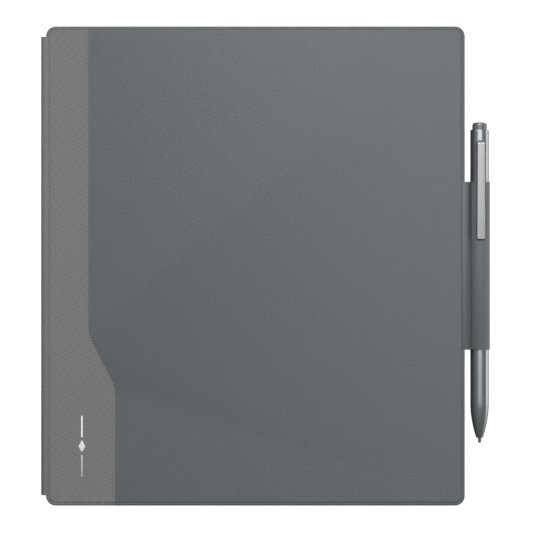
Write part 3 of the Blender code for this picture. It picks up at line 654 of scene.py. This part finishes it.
def table_white():
    """A white that glows evenly to the camera. Shiny surfaces see it glow brighter away from the folio, with a
    painted shadow close by the folio and painted shade towards its foot.
    """
    even_glow = 0.98
    painted_shadow_glow = 0.05
    near = 6.0 * MM
    far_glow = 2.3
    far = 15.0 * MM
    foot_shade_share = 0.40
    foot_low = -86.0 * MM
    foot_high = -64.0 * MM
    finish = Finish("floor_white", Roughness=0.9, Specular_IOR_Level=0.1, Base_Color=(0.25, 0.25, 0.25, 1.0),
                    Emission_Color=(1.0, 1.0, 1.0, 1.0))
    place = finish.parts(finish.place())
    outside = []
    for axis, low, high in zip("XY", *cad_bounds):
        off = finish.math("ABSOLUTE", finish.math("SUBTRACT", place[axis], (low + high) / 2))
        outside.append(finish.math("SUBTRACT", off, (high - low) / 2))
    distance = finish.math("MAXIMUM", *outside)
    # Painted shadow: the glow that shiny surfaces reflect drops close by the folio, and painted shade darkens
    # it towards the foot.
    reflected_with_painted_shadow = finish.spread(distance, painted_shadow_glow, far_glow, near, far)
    painted_foot_shade = finish.spread(place["Y"], foot_shade_share, 1.0, foot_low, foot_high)
    ray = finish.node("ShaderNodeLightPath").outputs["Is Glossy Ray"]
    seen = finish.math("SUBTRACT", finish.math("MULTIPLY", reflected_with_painted_shadow, painted_foot_shade), even_glow)
    glow = finish.math("ADD", finish.math("MULTIPLY", ray, seen), even_glow)
    finish.feed(finish.shader.inputs["Emission Strength"], glow)
    return finish.material


def floor():
    """A wide table that reads as a clean sheet of light around the folio."""
    bm = bmesh.new()
    bmesh.ops.create_circle(bm, cap_ends=True, segments=64, radius=40.0)
    mesh = bpy.data.meshes.new("floor")
    bm.to_mesh(mesh)
    bm.free()
    mesh.materials.append(table_white())
    made = bpy.data.objects.new("floor", mesh)
    made.location.z = -0.05 * MM
    made.visible_diffuse = False
    bpy.context.scene.collection.objects.link(made)


def sky():
    """A dim grey sky, darker below and towards the folio's foot."""
    world = bpy.data.worlds.new("studio")
    world.use_nodes = True
    made = NodeTree(world.node_tree)
    direction = made.parts(made.node("ShaderNodeTexCoord").outputs["Generated"])
    height = made.spread(direction["Z"], 0.06, 0.21, -0.15, 0.10)
    side = made.spread(direction["Y"], 0.55, 1.0, -0.55, -0.05)
    made.feed(made.tree.nodes["Background"].inputs["Color"], made.math("MULTIPLY", height, side))
    bpy.context.scene.world = world


def softbox(name, place, aim, size, radiance, diffuse=True, glossy=True):
    """A rectangular light that faces the point it is aimed at. Its height is along the spine's direction."""
    width, height = size
    data = bpy.data.lights.new(name, "AREA")
    data.shape = "RECTANGLE"
    data.size = width
    data.size_y = height
    data.energy = radiance * math.pi * width * height
    made = bpy.data.objects.new(name, data)
    made.location = place
    direction = Vector(aim) - Vector(place)
    made.rotation_mode = "QUATERNION"
    made.rotation_quaternion = direction.to_track_quat("-Z", "Y")
    made.visible_diffuse = diffuse
    made.visible_glossy = glossy
    bpy.context.scene.collection.objects.link(made)


def lights():
    """Two lights for the overall tone, three that only show as sheens, and one low at the right side."""
    centre = (0.0, 0.0, 0.0)
    softbox("overhead_fill", (-0.45, 0.6, 1.3), centre, (0.9, 1.6), 4.55, glossy=False)
    softbox("key", (1.1, 1.2, 1.5), centre, (0.6, 0.6), 6.2)
    softbox("sheen_far", (0.0, 0.75, 0.5), centre, (0.9, 0.3), 15.0, diffuse=False)
    softbox("sheen_right", (0.162, 0.160, 0.5), (0.162, 0.160, 0.0), (0.41, 0.40), 2.9, diffuse=False)
    softbox("sheen_middle", (-0.10, 0.30, 0.5), (-0.10, 0.30, 0.0), (0.18, 0.12), 35.0, diffuse=False)
    softbox("side_right", (1.2, 0.0, 0.20), centre, (1.2, 0.38), 6.0, glossy=False)


def keep_light_to(light, prefix):
    """Flags a light off everything but the pieces whose names start with a prefix."""
    lit = bpy.data.collections.new(light + "_lit")
    for piece in bpy.context.scene.objects:
        if piece.name.startswith(prefix):
            lit.objects.link(piece)
    bpy.data.objects[light].light_linking.receiver_collection = lit


# Folio -----------------------------------------------------------------------------------------

def step_region(shift):
    """The spine side of the twill panel's stepped edge, with that edge moved along X by a shift."""
    far = 2 * HALF_HEIGHT
    top_x = panel_high.x - STEP_WIDTH
    slant_width = STEP_WIDTH - 2 * STEP_ARC * (1 - math.cos(STEP_SLANT))
    half_step = STEP_ARC * math.sin(STEP_SLANT) + slant_width / math.tan(STEP_SLANT) / 2
    slant = math.degrees(STEP_SLANT)
    edge = [(top_x, far)]
    edge += arc((top_x + STEP_ARC, STEP_Y + half_step), STEP_ARC, 180, 180 + slant, 24)
    edge += arc((top_x + STEP_WIDTH - STEP_ARC, STEP_Y - half_step), STEP_ARC, slant, 0, 24)
    edge += [(top_x + STEP_WIDTH, -far), (-far, -far), (-far, far)]
    return [(x + shift, y) for x, y in edge]


def step_solid(levels):
    """The stepped region as a solid, from its height and its edge's shift at each level."""
    return loft([at_height(step_region(shift), z) for z, shift in levels])


def cover_profile():
    """A cover skin's section, in millimetres in from the edge and down from the face.

    It runs over the face, the border groove and the rolled edge to the rim, and ends at the inner side.
    """
    groove = [(3.4, 0.0), (2.6, 0.0), (2.05, 0.005), (1.90, 0.03), (1.70, 0.10), (1.50, 0.17), (1.35, 0.20),
              (1.20, 0.205), (1.05, 0.19), (0.90, 0.18), (0.75, 0.18)]
    rim = [(0.0, 1.75), (0.03, 1.9), (0.12, 1.97), (0.25, 2.0), (0.45, 2.0), (0.5, 1.96), (0.5, 0.4)]
    rounding = 0.7
    depth = groove[-1][1]
    rolled_edge = arc((rounding, depth + rounding), rounding, -90, -180, 8)[1:]
    return groove + rolled_edge + rim


def sheet(low, high, profile, face, facing):
    """A shallow tray or sheet in rings, from its profile. Facing is 1 where its face looks up, -1 down."""
    rings = []
    for inset, depth in profile:
        rings.append(at_height(rectangle(low, high, CORNER, inset * MM), face - facing * depth * MM))
    return loft(rings)


def over_edge(point, low, high):
    """How a point lies on a cover's border: the direction outwards, and the distance in from the edge."""
    inner_x = min(max(point.x, low.x + CORNER), high.x - CORNER)
    inner_y = min(max(point.y, low.y + CORNER), high.y - CORNER)
    out = Vector((point.x - inner_x, point.y - inner_y))
    if out.length < 1e-7:
        return out, CORNER
    return out.normalized(), CORNER - out.length


def dress_skin(piece, low, high, face):
    """Lays a cover's skin flat for its grain, and marks its border groove and rolled edge to be darkened as
    painted shade.
    """
    groove_reach = 0.55 * MM
    edge_width = 0.6 * MM
    edge_drop = 0.5 * MM
    rolled_edge_shade = 0.8
    places = []
    shares = []
    for vertex in piece.data.vertices:
        point = vertex.co
        out, inset = over_edge(point, low, high)
        drop = abs(face - point.z)
        places.append((point.x + out.x * drop, point.y + out.y * drop))
        # Painted shade in the border groove and on the rolled edge.
        groove_shade = max(0.0, 1.0 - abs(inset - GROOVE_INSET) / groove_reach)
        edge_shade = rolled_edge_shade * min(drop / edge_drop, 1.0) if inset < edge_width else 0.0
        shares.append(max(groove_shade, edge_shade))
    place_flat(piece.data, places)
    mark_wear_and_shade(piece.data, shares)


def front_skin(name, face, finish, region, operation):
    """The front cover's skin, cut down to the leather's or the twill's side of the stepped edge."""
    low = Vector((LEFT, -HALF_HEIGHT, INNER))
    high = Vector((RIGHT, HALF_HEIGHT, TOP))
    skin = add_piece(name, sheet(low, high, cover_profile(), face, 1), finish)
    boolean(skin, region, operation)
    give_material(skin.data, finish)
    shade_smooth(skin.data)
    dress_skin(skin, low, high, face)
    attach(skin, "front_cover")
    return skin


def front_cover():
    """Leather with a soft arris along the stepped edge, and twill that lies a little lower."""
    below = INNER - 1.0 * MM
    above = TOP + 1.0 * MM
    arris = step_solid([(below, 0.0), (TOP - 0.14 * MM, 0.0), (TOP - 0.04 * MM, 0.04 * MM), (TOP, 0.13 * MM),
                        (above, 2.5 * MM)])
    leather_side = front_skin("front_leather_skin", TOP, leather_finish, arris, "DIFFERENCE")
    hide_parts("front_cover_skin")
    overlap = -0.02 * MM
    upright = step_solid([(below, overlap), (above, overlap)])
    twill_side = front_skin("front_twill_skin", TOP - LAP, twill_finish, upright, "INTERSECT")
    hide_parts("front_twill_panel")


def rear_cover():
    """One leather skin, with its face down."""
    face = rear_low.z
    bm = sheet(rear_low, rear_high, cover_profile(), face, -1)
    skin = add_piece("rear_leather_skin", bm, leather_finish, ROOT, ["rear_cover_skin"])
    dress_skin(skin, rear_low, rear_high, face)


def lining(side, body, facing):
    """A brushed lining with a soft edge, and a pressed line that follows the border."""
    low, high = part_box(side + "_lining")
    face = low.z if facing < 0 else high.z
    pressed_line = [(5.6, 0.0), (4.6, 0.0), (4.2, 0.03), (3.9, 0.12), (3.6, 0.03), (3.2, 0.0)]
    soft_edge = [(0.35, 0.0), (0.15, 0.04), (0.04, 0.12), (0.0, 0.25), (0.0, 0.4)]
    bm = sheet(low, high, pressed_line + soft_edge, face, facing)
    add_piece(side + "_brushed_lining", bm, microfibre_finish, body, [side + "_lining"])


def spine_painted_shade(x, z, share):
    """The spine's strip is darkened along the outer edge and towards the border groove: painted shade."""
    outer_shade_width = 2.0 * MM
    groove_shade_width = 1.2 * MM
    # Painted shade on the rounded outer edge, and towards the border groove.
    outer_edge_shade = 1.0 - (x - spine_low.x) / outer_shade_width
    pressed = 1.0 - (LEFT + GROOVE_INSET - x) / groove_shade_width
    return min(max(outer_edge_shade, 0.5 * pressed, 0.0), 1.0)


def spine_strip(name, outer_z, facing):
    """Half of the spine's twill: from a cover's border groove over its edge to half the height."""
    proud = 0.04 * MM
    radius = 2.0 * MM
    face = outer_z + facing * (proud - STRIP / 2)
    centre = (spine_low.x + radius, outer_z + facing * (proud - radius))
    groove_x = LEFT + GROOVE_INSET
    groove_drop = 0.38 * MM
    start = (groove_x + 0.05 * MM, face - facing * groove_drop)
    start_pull = (groove_x - 0.1 * MM, face - facing * 0.1 * MM)
    landed = (groove_x - 0.9 * MM, face)
    landed_pull = (groove_x - 0.3 * MM, face)
    path = [start]
    path += bezier(start, start_pull, landed_pull, landed, 8)
    path += arc(centre, radius - STRIP / 2, facing * 90, facing * 180, 24)
    outer_x = path[-1][0]
    path += straight(path[-1], (outer_x, (spine_low.z + spine_high.z) / 2), 6)
    piece = band(name, path, -spine_high.y, spine_high.y, twill_finish, spine_painted_shade, ["spine_skin"],
                 origin=groove_x if facing > 0 else 0.0, direction=-facing)
    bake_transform(piece)


def spine():
    """Two strips, one from each cover's border groove, that meet at half the height."""
    spine_strip("spine_twill_upper", TOP, 1)
    spine_strip("spine_twill_lower", rear_low.z, -1)


def loop_wear_and_shade(x, z, share):
    """The loop is rubbed at its two ends, and darkened where it leaves the cover and dips beside the stylus:
    painted shade.
    """
    end_wear = 0.6
    crease_start = RIGHT + 0.2 * MM
    crease_end = RIGHT + 3.1 * MM
    if share < 1.0:
        return end_wear
    if z < PEN_Z:
        return 0.0
    # Painted shade down the slope into the hollow beside the stylus.
    rise = (x - crease_start) / (1.4 * MM)
    fall = (crease_end - x) / (0.6 * MM)
    return min(max(min(rise, fall), 0.0), 1.0)


def pen_loop():
    """One strip of skin: from the cover's border groove over its edge, round the stylus and back to it."""
    slack = 0.2 * MM
    around = PEN_RADIUS + slack + STRIP / 2
    turn = arc((PEN_X, PEN_Z), around, 135, -190, 96)
    meet = turn[0]
    leave = turn[-1]

    # Out of the groove and over the cover's edge.
    groove_x = RIGHT - GROOVE_INSET
    face = TOP - STRIP / 2
    proud_z = face + 0.02 * MM
    start = (groove_x - 0.02 * MM, face - 0.30 * MM)
    start_pull = (groove_x + 0.12 * MM, face - 0.05 * MM)
    landed = (groove_x + 0.8 * MM, proud_z)
    over = (RIGHT + 0.7 * MM, proud_z)
    path = [start]
    path += bezier(start, start_pull, (groove_x + 0.3 * MM, proud_z), landed, 6)
    path += straight(landed, over, 4)

    # Down into the hollow beside the stylus, and round it.
    over_pull = (over[0] + 1.4 * MM, proud_z)
    meet_pull = (meet[0] - 0.62 * MM, meet[1] - 0.62 * MM)
    path += bezier(over, over_pull, meet_pull, meet, 16)
    path += turn[1:]

    # Up again, and tucked against the cover's edge.
    leave_pull = (leave[0] + 0.06 * MM, leave[1] + 0.8 * MM)
    tucked_z = TOP - 1.0 * MM
    path += bezier(leave, leave_pull, (RIGHT + 1.5 * MM, tucked_z), (RIGHT - 0.15 * MM, tucked_z), 14)
    piece = band("pen_loop_leather", path, loop_low.y, loop_high.y, leather_finish, loop_wear_and_shade,
                 ["pen_loop"], origin=groove_x)
    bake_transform(piece)


def mark_shapes():
    """The foil mark seen from above: a lozenge, and a slim bar in line above and below it."""
    across = 1.7 * MM
    along = 3.1 * MM
    gap = 1.2 * MM
    bar_length = 10.5 * MM
    bar_half = 0.42 * MM
    shapes = [[(0, -along), (across, 0), (0, along), (-across, 0)]]
    for side in (-1, 1):
        low, high = sorted((side * (along + gap), side * (along + gap + bar_length)))
        shapes.append([(-bar_half, low), (bar_half, low), (bar_half, high), (-bar_half, high)])
    return shapes


def foil_ornament():
    """A plain foil mark, low on the twill."""
    base = TOP - 0.2 * MM
    proud = 0.03 * MM
    face = TOP - LAP + proud
    bm = bmesh.new()
    for shape in mark_shapes():
        outline = bm.faces.new([bm.verts.new((MARK_X + u, MARK_Y + v, base)) for u, v in shape])
        raised = bmesh.ops.extrude_face_region(bm, geom=[outline])["geom"]
        lifted = [item for item in raised if isinstance(item, bmesh.types.BMVert)]
        bmesh.ops.translate(bm, verts=lifted, vec=(0, 0, face - base))
    top_edges = [edge for edge in bm.edges if all(abs(v.co.z - face) < 1e-7 for v in edge.verts)]
    bmesh.ops.bevel(bm, geom=top_edges, offset=0.05 * MM, segments=2, affect="EDGES")
    bmesh.ops.recalc_face_normals(bm, faces=bm.faces)
    add_piece("foil_ornament", bm, foil_finish, "front_cover")


# Stylus ----------------------------------------------------------------------------------------

def cone_radius(along):
    """The tip cone's radius, by distance from the barrel's end: an even curve that leaves in line with it."""
    bow_per_metre = 9.75
    return PEN_RADIUS - bow_per_metre * along * along


def barrel():
    """The barrel as a tube, with a soft edge where the knob leaves it."""
    bore = PEN_RADIUS - 0.6 * MM
    top = barrel_high.y
    soft = 0.12 * MM
    profile = [(bore, CONE_SEAM), (PEN_RADIUS, CONE_SEAM), (PEN_RADIUS, CONE_SEAM + 0.5 * MM),
               (PEN_RADIUS, top - soft - 0.5 * MM), (PEN_RADIUS, top - soft - 0.2 * MM)]
    profile += arc((PEN_RADIUS - soft, top - soft), soft, 0, 90, 5)
    profile += [(bore + 0.1 * MM, top), (bore, top - 0.1 * MM)]
    bm = turned(profile, closed=True)
    add_piece("stylus_barrel_tube", bm, pen_finish, "stylus", ["stylus_barrel"])


def tip_cone():
    """The cone as a shell: curved outside, with a rounded mouth and a throat that widens inwards."""
    bore = NIB_RADIUS + 0.3 * MM
    wide_bore = bore + 2.4 * MM
    soft = 0.2 * MM
    edge = 0.08 * MM
    mouth = cone_low.y
    run = CONE_SEAM - mouth - soft
    steps = 32
    profile = [(wide_bore, CONE_SEAM)]
    for step in range(steps + 1):
        along = run * step / steps
        profile.append((cone_radius(along), CONE_SEAM - along))
    profile += arc((cone_radius(run) - soft, mouth + soft), soft, 0, -90, 5)[1:]
    profile += [(bore + edge, mouth), (bore, mouth + edge), (bore, mouth + 3.3 * MM),
                (bore + 1.0 * MM, mouth + 5.3 * MM)]
    bm = turned(profile, closed=True)
    add_piece("stylus_tip_cone", bm, pen_finish, "stylus", ["tip_cone"])


def nib():
    """The nib: a rounded point, and a slimmer shank inside the cone."""
    crown = 0.75 * MM
    shank = NIB_RADIUS * 0.9
    profile = []
    for angle in (4, 15, 30, 45, 60, 75, 90):
        turn = math.radians(angle)
        profile.append((NIB_RADIUS * math.sin(turn), nib_low.y + crown * (1 - math.cos(turn))))
    profile += [(NIB_RADIUS, nib_low.y + 8.0 * MM), (shank, nib_low.y + 9.0 * MM), (shank, nib_high.y)]
    add_piece("stylus_nib", turned(profile, 32), nib_finish, "nib", ["nib"])


def end_knob():
    """The dark end cap, round at its end, with a lip inside that keeps the eraser in."""
    radius = (knob_high.x - knob_low.x) / 2
    bore = radius - 0.5 * MM
    lip_bore = ERASER_RADIUS + 0.2 * MM
    lip_base = eraser_low.y + 1.2 * MM
    top = knob_high.y
    rounding = 1.32 * MM
    edge = 0.06 * MM
    collar = 0.6 * MM
    profile = [(bore, knob_low.y), (radius, knob_low.y), (radius, barrel_high.y - collar),
               (radius, barrel_high.y + collar)]
    profile += arc((radius - rounding, top - rounding), rounding, 0, 90, 12)
    profile += [(lip_bore + edge, top), (lip_bore, top - edge), (lip_bore, lip_base), (bore, lip_base)]
    bm = turned(profile, closed=True)
    add_piece("stylus_end_knob", bm, knob_finish, "stylus", ["end_knob"])


def eraser():
    """The pale end dome, on a flange behind the knob's lip."""
    flange = (eraser_high.x - eraser_low.x) / 2
    flange_top = eraser_low.y + 0.9 * MM
    edge = 0.1 * MM
    rise = 1.0 * MM
    profile = [(flange - edge, eraser_low.y), (flange, eraser_low.y + edge), (flange, flange_top),
               (ERASER_RADIUS, flange_top)]
    for angle in (0, 15, 30, 45, 60, 72, 82, 87):
        turn = math.radians(angle)
        profile.append((ERASER_RADIUS * math.cos(turn), eraser_high.y - rise * (1 - math.sin(turn))))
    add_piece("stylus_eraser_dome", turned(profile), eraser_finish, "eraser", ["eraser"])


def clip_outline(widen, shade_side, root_inset):
    """The clip from above: tapered to its root, round at its free end, and wider on its shaded side."""
    half = 1.7 * MM
    taper = 0.2 * MM
    end_corner = 0.7 * MM
    root_corner = 0.15 * MM
    left = PEN_X - half - widen - shade_side
    right = PEN_X + half + widen
    corner = end_corner + widen + shade_side
    end_y = clip_low.y + 0.3 * MM + end_corner
    root_y = clip_high.y - root_inset - root_corner
    outline = arc((left - taper + corner, end_y), corner, 180, 270, 8)
    outline += arc((right + taper - corner, end_y), corner, 270, 360, 8)
    outline += arc((right - root_corner, root_y), root_corner, 0, 90, 3)
    outline += arc((left + root_corner, root_y), root_corner, 90, 180, 3)
    return outline


def clip_plate(name, sections, shade_side, finish):
    """A plate lofted through sections: height over the clip's underside, widening, inset at the root."""
    underside = PEN_Z + PEN_RADIUS + 0.8 * MM
    rings = []
    for height, widen, root_inset in sections:
        outline = clip_outline(widen * MM, shade_side, root_inset * MM)
        rings.append(at_height(outline, underside + height * MM))
    add_piece(name, rolled(loft(rings)), finish, "clip", ["stylus_clip"])


def clip():
    """A steel face with a fine chamfer, on a dark sheet that shows along its shaded side and free end as a
    painted shadow.

    The sections are in millimetres.
    """
    face = [(0.34, -0.06, 0.02), (0.38, 0.0, 0.0), (0.48, 0.0, 0.0), (0.68, 0.0, 0.38), (0.74, -0.02, 0.50),
            (0.78, -0.08, 0.60), (0.80, -0.16, 0.75)]
    painted_shadow = [(0.0, -0.12, 0.10), (0.06, -0.04, 0.0), (0.24, -0.04, 0.0), (0.33, -0.08, 0.05)]
    clip_plate("stylus_clip_face", face, 0.0, clip_finish)
    # The dark sheet that shows round the face is a painted shadow.
    clip_plate("stylus_clip_carrier", painted_shadow, 0.62 * MM, painted_shadow_finish)


def clip_mount():
    """The clip's root: a low dark block let into the barrel's side."""
    half = 2.35 * MM
    corner = 0.6 * MM
    base = PEN_Z + PEN_RADIUS - 0.6 * MM
    top = PEN_Z + PEN_RADIUS + 0.55 * MM
    low = Vector((PEN_X - half, mount_low.y, 0.0))
    high = Vector((PEN_X + half, mount_high.y, 0.0))
    rings = []
    for z, inset in ((base, 0.0), (top - 0.08 * MM, 0.0), (top - 0.02 * MM, 0.02), (top, 0.07)):
        rings.append(at_height(rectangle(low, high, corner, inset * MM, 6), z))
    add_piece("stylus_clip_mount", rolled(loft(rings)), mount_finish, "stylus", ["clip_mount"])


# CAD nodes that keep their shape ---------------------------------------------------------------

def soften(width, *names, segments=2):
    """Rounds nodes' sharp edges."""
    for name in names:
        node = frame["nodes"][name]
        modifier = node.modifiers.new("soft_edges", "BEVEL")
        modifier.width = width
        modifier.segments = segments
        modifier.limit_method = "ANGLE"
        modifier.angle_limit = math.radians(40)
        modifier.harden_normals = False
        shade_smooth(node.data)


def dress(finish, *names):
    """Gives nodes their material."""
    for name in names:
        give_material(frame["nodes"][name].data, finish)


def tablet_case():
    """The rear shell, the chassis, the lens and what shows at the tablet's edges."""
    shell = moulded("tablet_shell", (0.035, 0.036, 0.038), 0.42, Specular_IOR_Level=0.4)
    tray = moulded("tray_black", (0.022, 0.022, 0.024), 0.5)
    magnesium = satin_metal("cast_magnesium", (0.5, 0.51, 0.52), 0.45, (1.0, 1.0, 1.0))
    dress(tray, "holder_tray")
    dress(shell, "rear_shell", "speaker_left", "speaker_right", "power_button")
    dress(magnesium, "chassis_frame")
    dress(front_lens(), "front_lens")
    soften(0.35 * MM, "rear_shell", segments=3)
    soften(0.3 * MM, "holder_tray", segments=3)
    soften(0.12 * MM, "front_lens", "speaker_left", "speaker_right")
    soften(0.15 * MM, "power_button")


def tablet_inside():
    """The page and its layers, the boards, the cells and the small electronics."""
    acrylic = moulded("guide_acrylic", (0.75, 0.76, 0.76), 0.15, Specular_IOR_Level=0.5)
    amber = moulded("flex_amber", (0.35, 0.15, 0.03), 0.4)
    chip = moulded("chip_black", (0.016, 0.016, 0.017), 0.4, spark=0.2)
    pouch = moulded("cell_pouch", (0.05, 0.05, 0.055), 0.35, 2.0 * MM, 0.05 * MM, Specular_IOR_Level=0.6)
    dress(paper_screen(), "paper_screen")
    dress(acrylic, "light_guide")
    dress(amber, "display_flex", "antenna", "light_strip")
    dress(chip, "processor", "hall_sensor", "usb_c_tongue")
    dress(pouch, "battery_cell_left", "battery_cell_right")
    dress(circuit_board("digitizer_board", (0.04, 0.07, 0.04), (0.10, 0.14, 0.07)), "digitizer_board")
    soften(0.12 * MM, "battery_cell_left", "battery_cell_right", "shield_can", "processor", "microphone")


def steel_and_boards():
    """The steel pieces and the green boards of the tablet and the stylus."""
    steel = satin_metal("brushed_steel", (0.62, 0.62, 0.63), 0.3, (0.04, 1.0, 1.0))
    board = circuit_board("board_green", (0.02, 0.12, 0.05), (0.05, 0.22, 0.09))
    for number in (1, 2, 3, 4):
        dress(steel, f"chassis_screw_{number}")
    dress(steel, "shield_can", "usb_c_socket", "power_switch", "microphone")
    dress(steel, "pressure_sensor", "eraser_switch")
    dress(board, "main_board", "stylus_circuit_board")


def folio_inside():
    """The boards, the spine's stiffener and lining, and the closure magnets."""
    board = moulded("cover_board", (0.055, 0.055, 0.057), 0.9, 0.8 * MM, 0.05 * MM)
    nickel = satin_metal("magnet_nickel", (0.6, 0.58, 0.54), 0.3, (1.0, 1.0, 1.0))
    dress(board, "front_board", "rear_board", "spine_stiffener")
    dress(microfibre_finish, "spine_lining")
    dress(nickel, "closure_magnet_upper", "closure_magnet_lower")
    soften(0.12 * MM, "closure_magnet_upper", "closure_magnet_lower", "spine_stiffener")


def stylus_inside():
    """The nib's holder, the ferrite core and its winding."""
    ferrite = moulded("ferrite_grey", (0.05, 0.05, 0.052), 0.7)
    dress(ferrite, "ferrite_core")
    dress(wound_copper(), "coil_winding")
    dress(nib_finish, "nib_holder")


# The scene -------------------------------------------------------------------------------------

camera()
colours()
floor()
sky()
lights()
front_cover()
rear_cover()
lining("front", "front_cover", -1)
lining("rear", ROOT, 1)
spine()
pen_loop()
foil_ornament()
barrel()
tip_cone()
nib()
end_knob()
eraser()
clip()
clip_mount()
tablet_case()
tablet_inside()
steel_and_boards()
folio_inside()
stylus_inside()
keep_light_to("sheen_far", "stylus_")
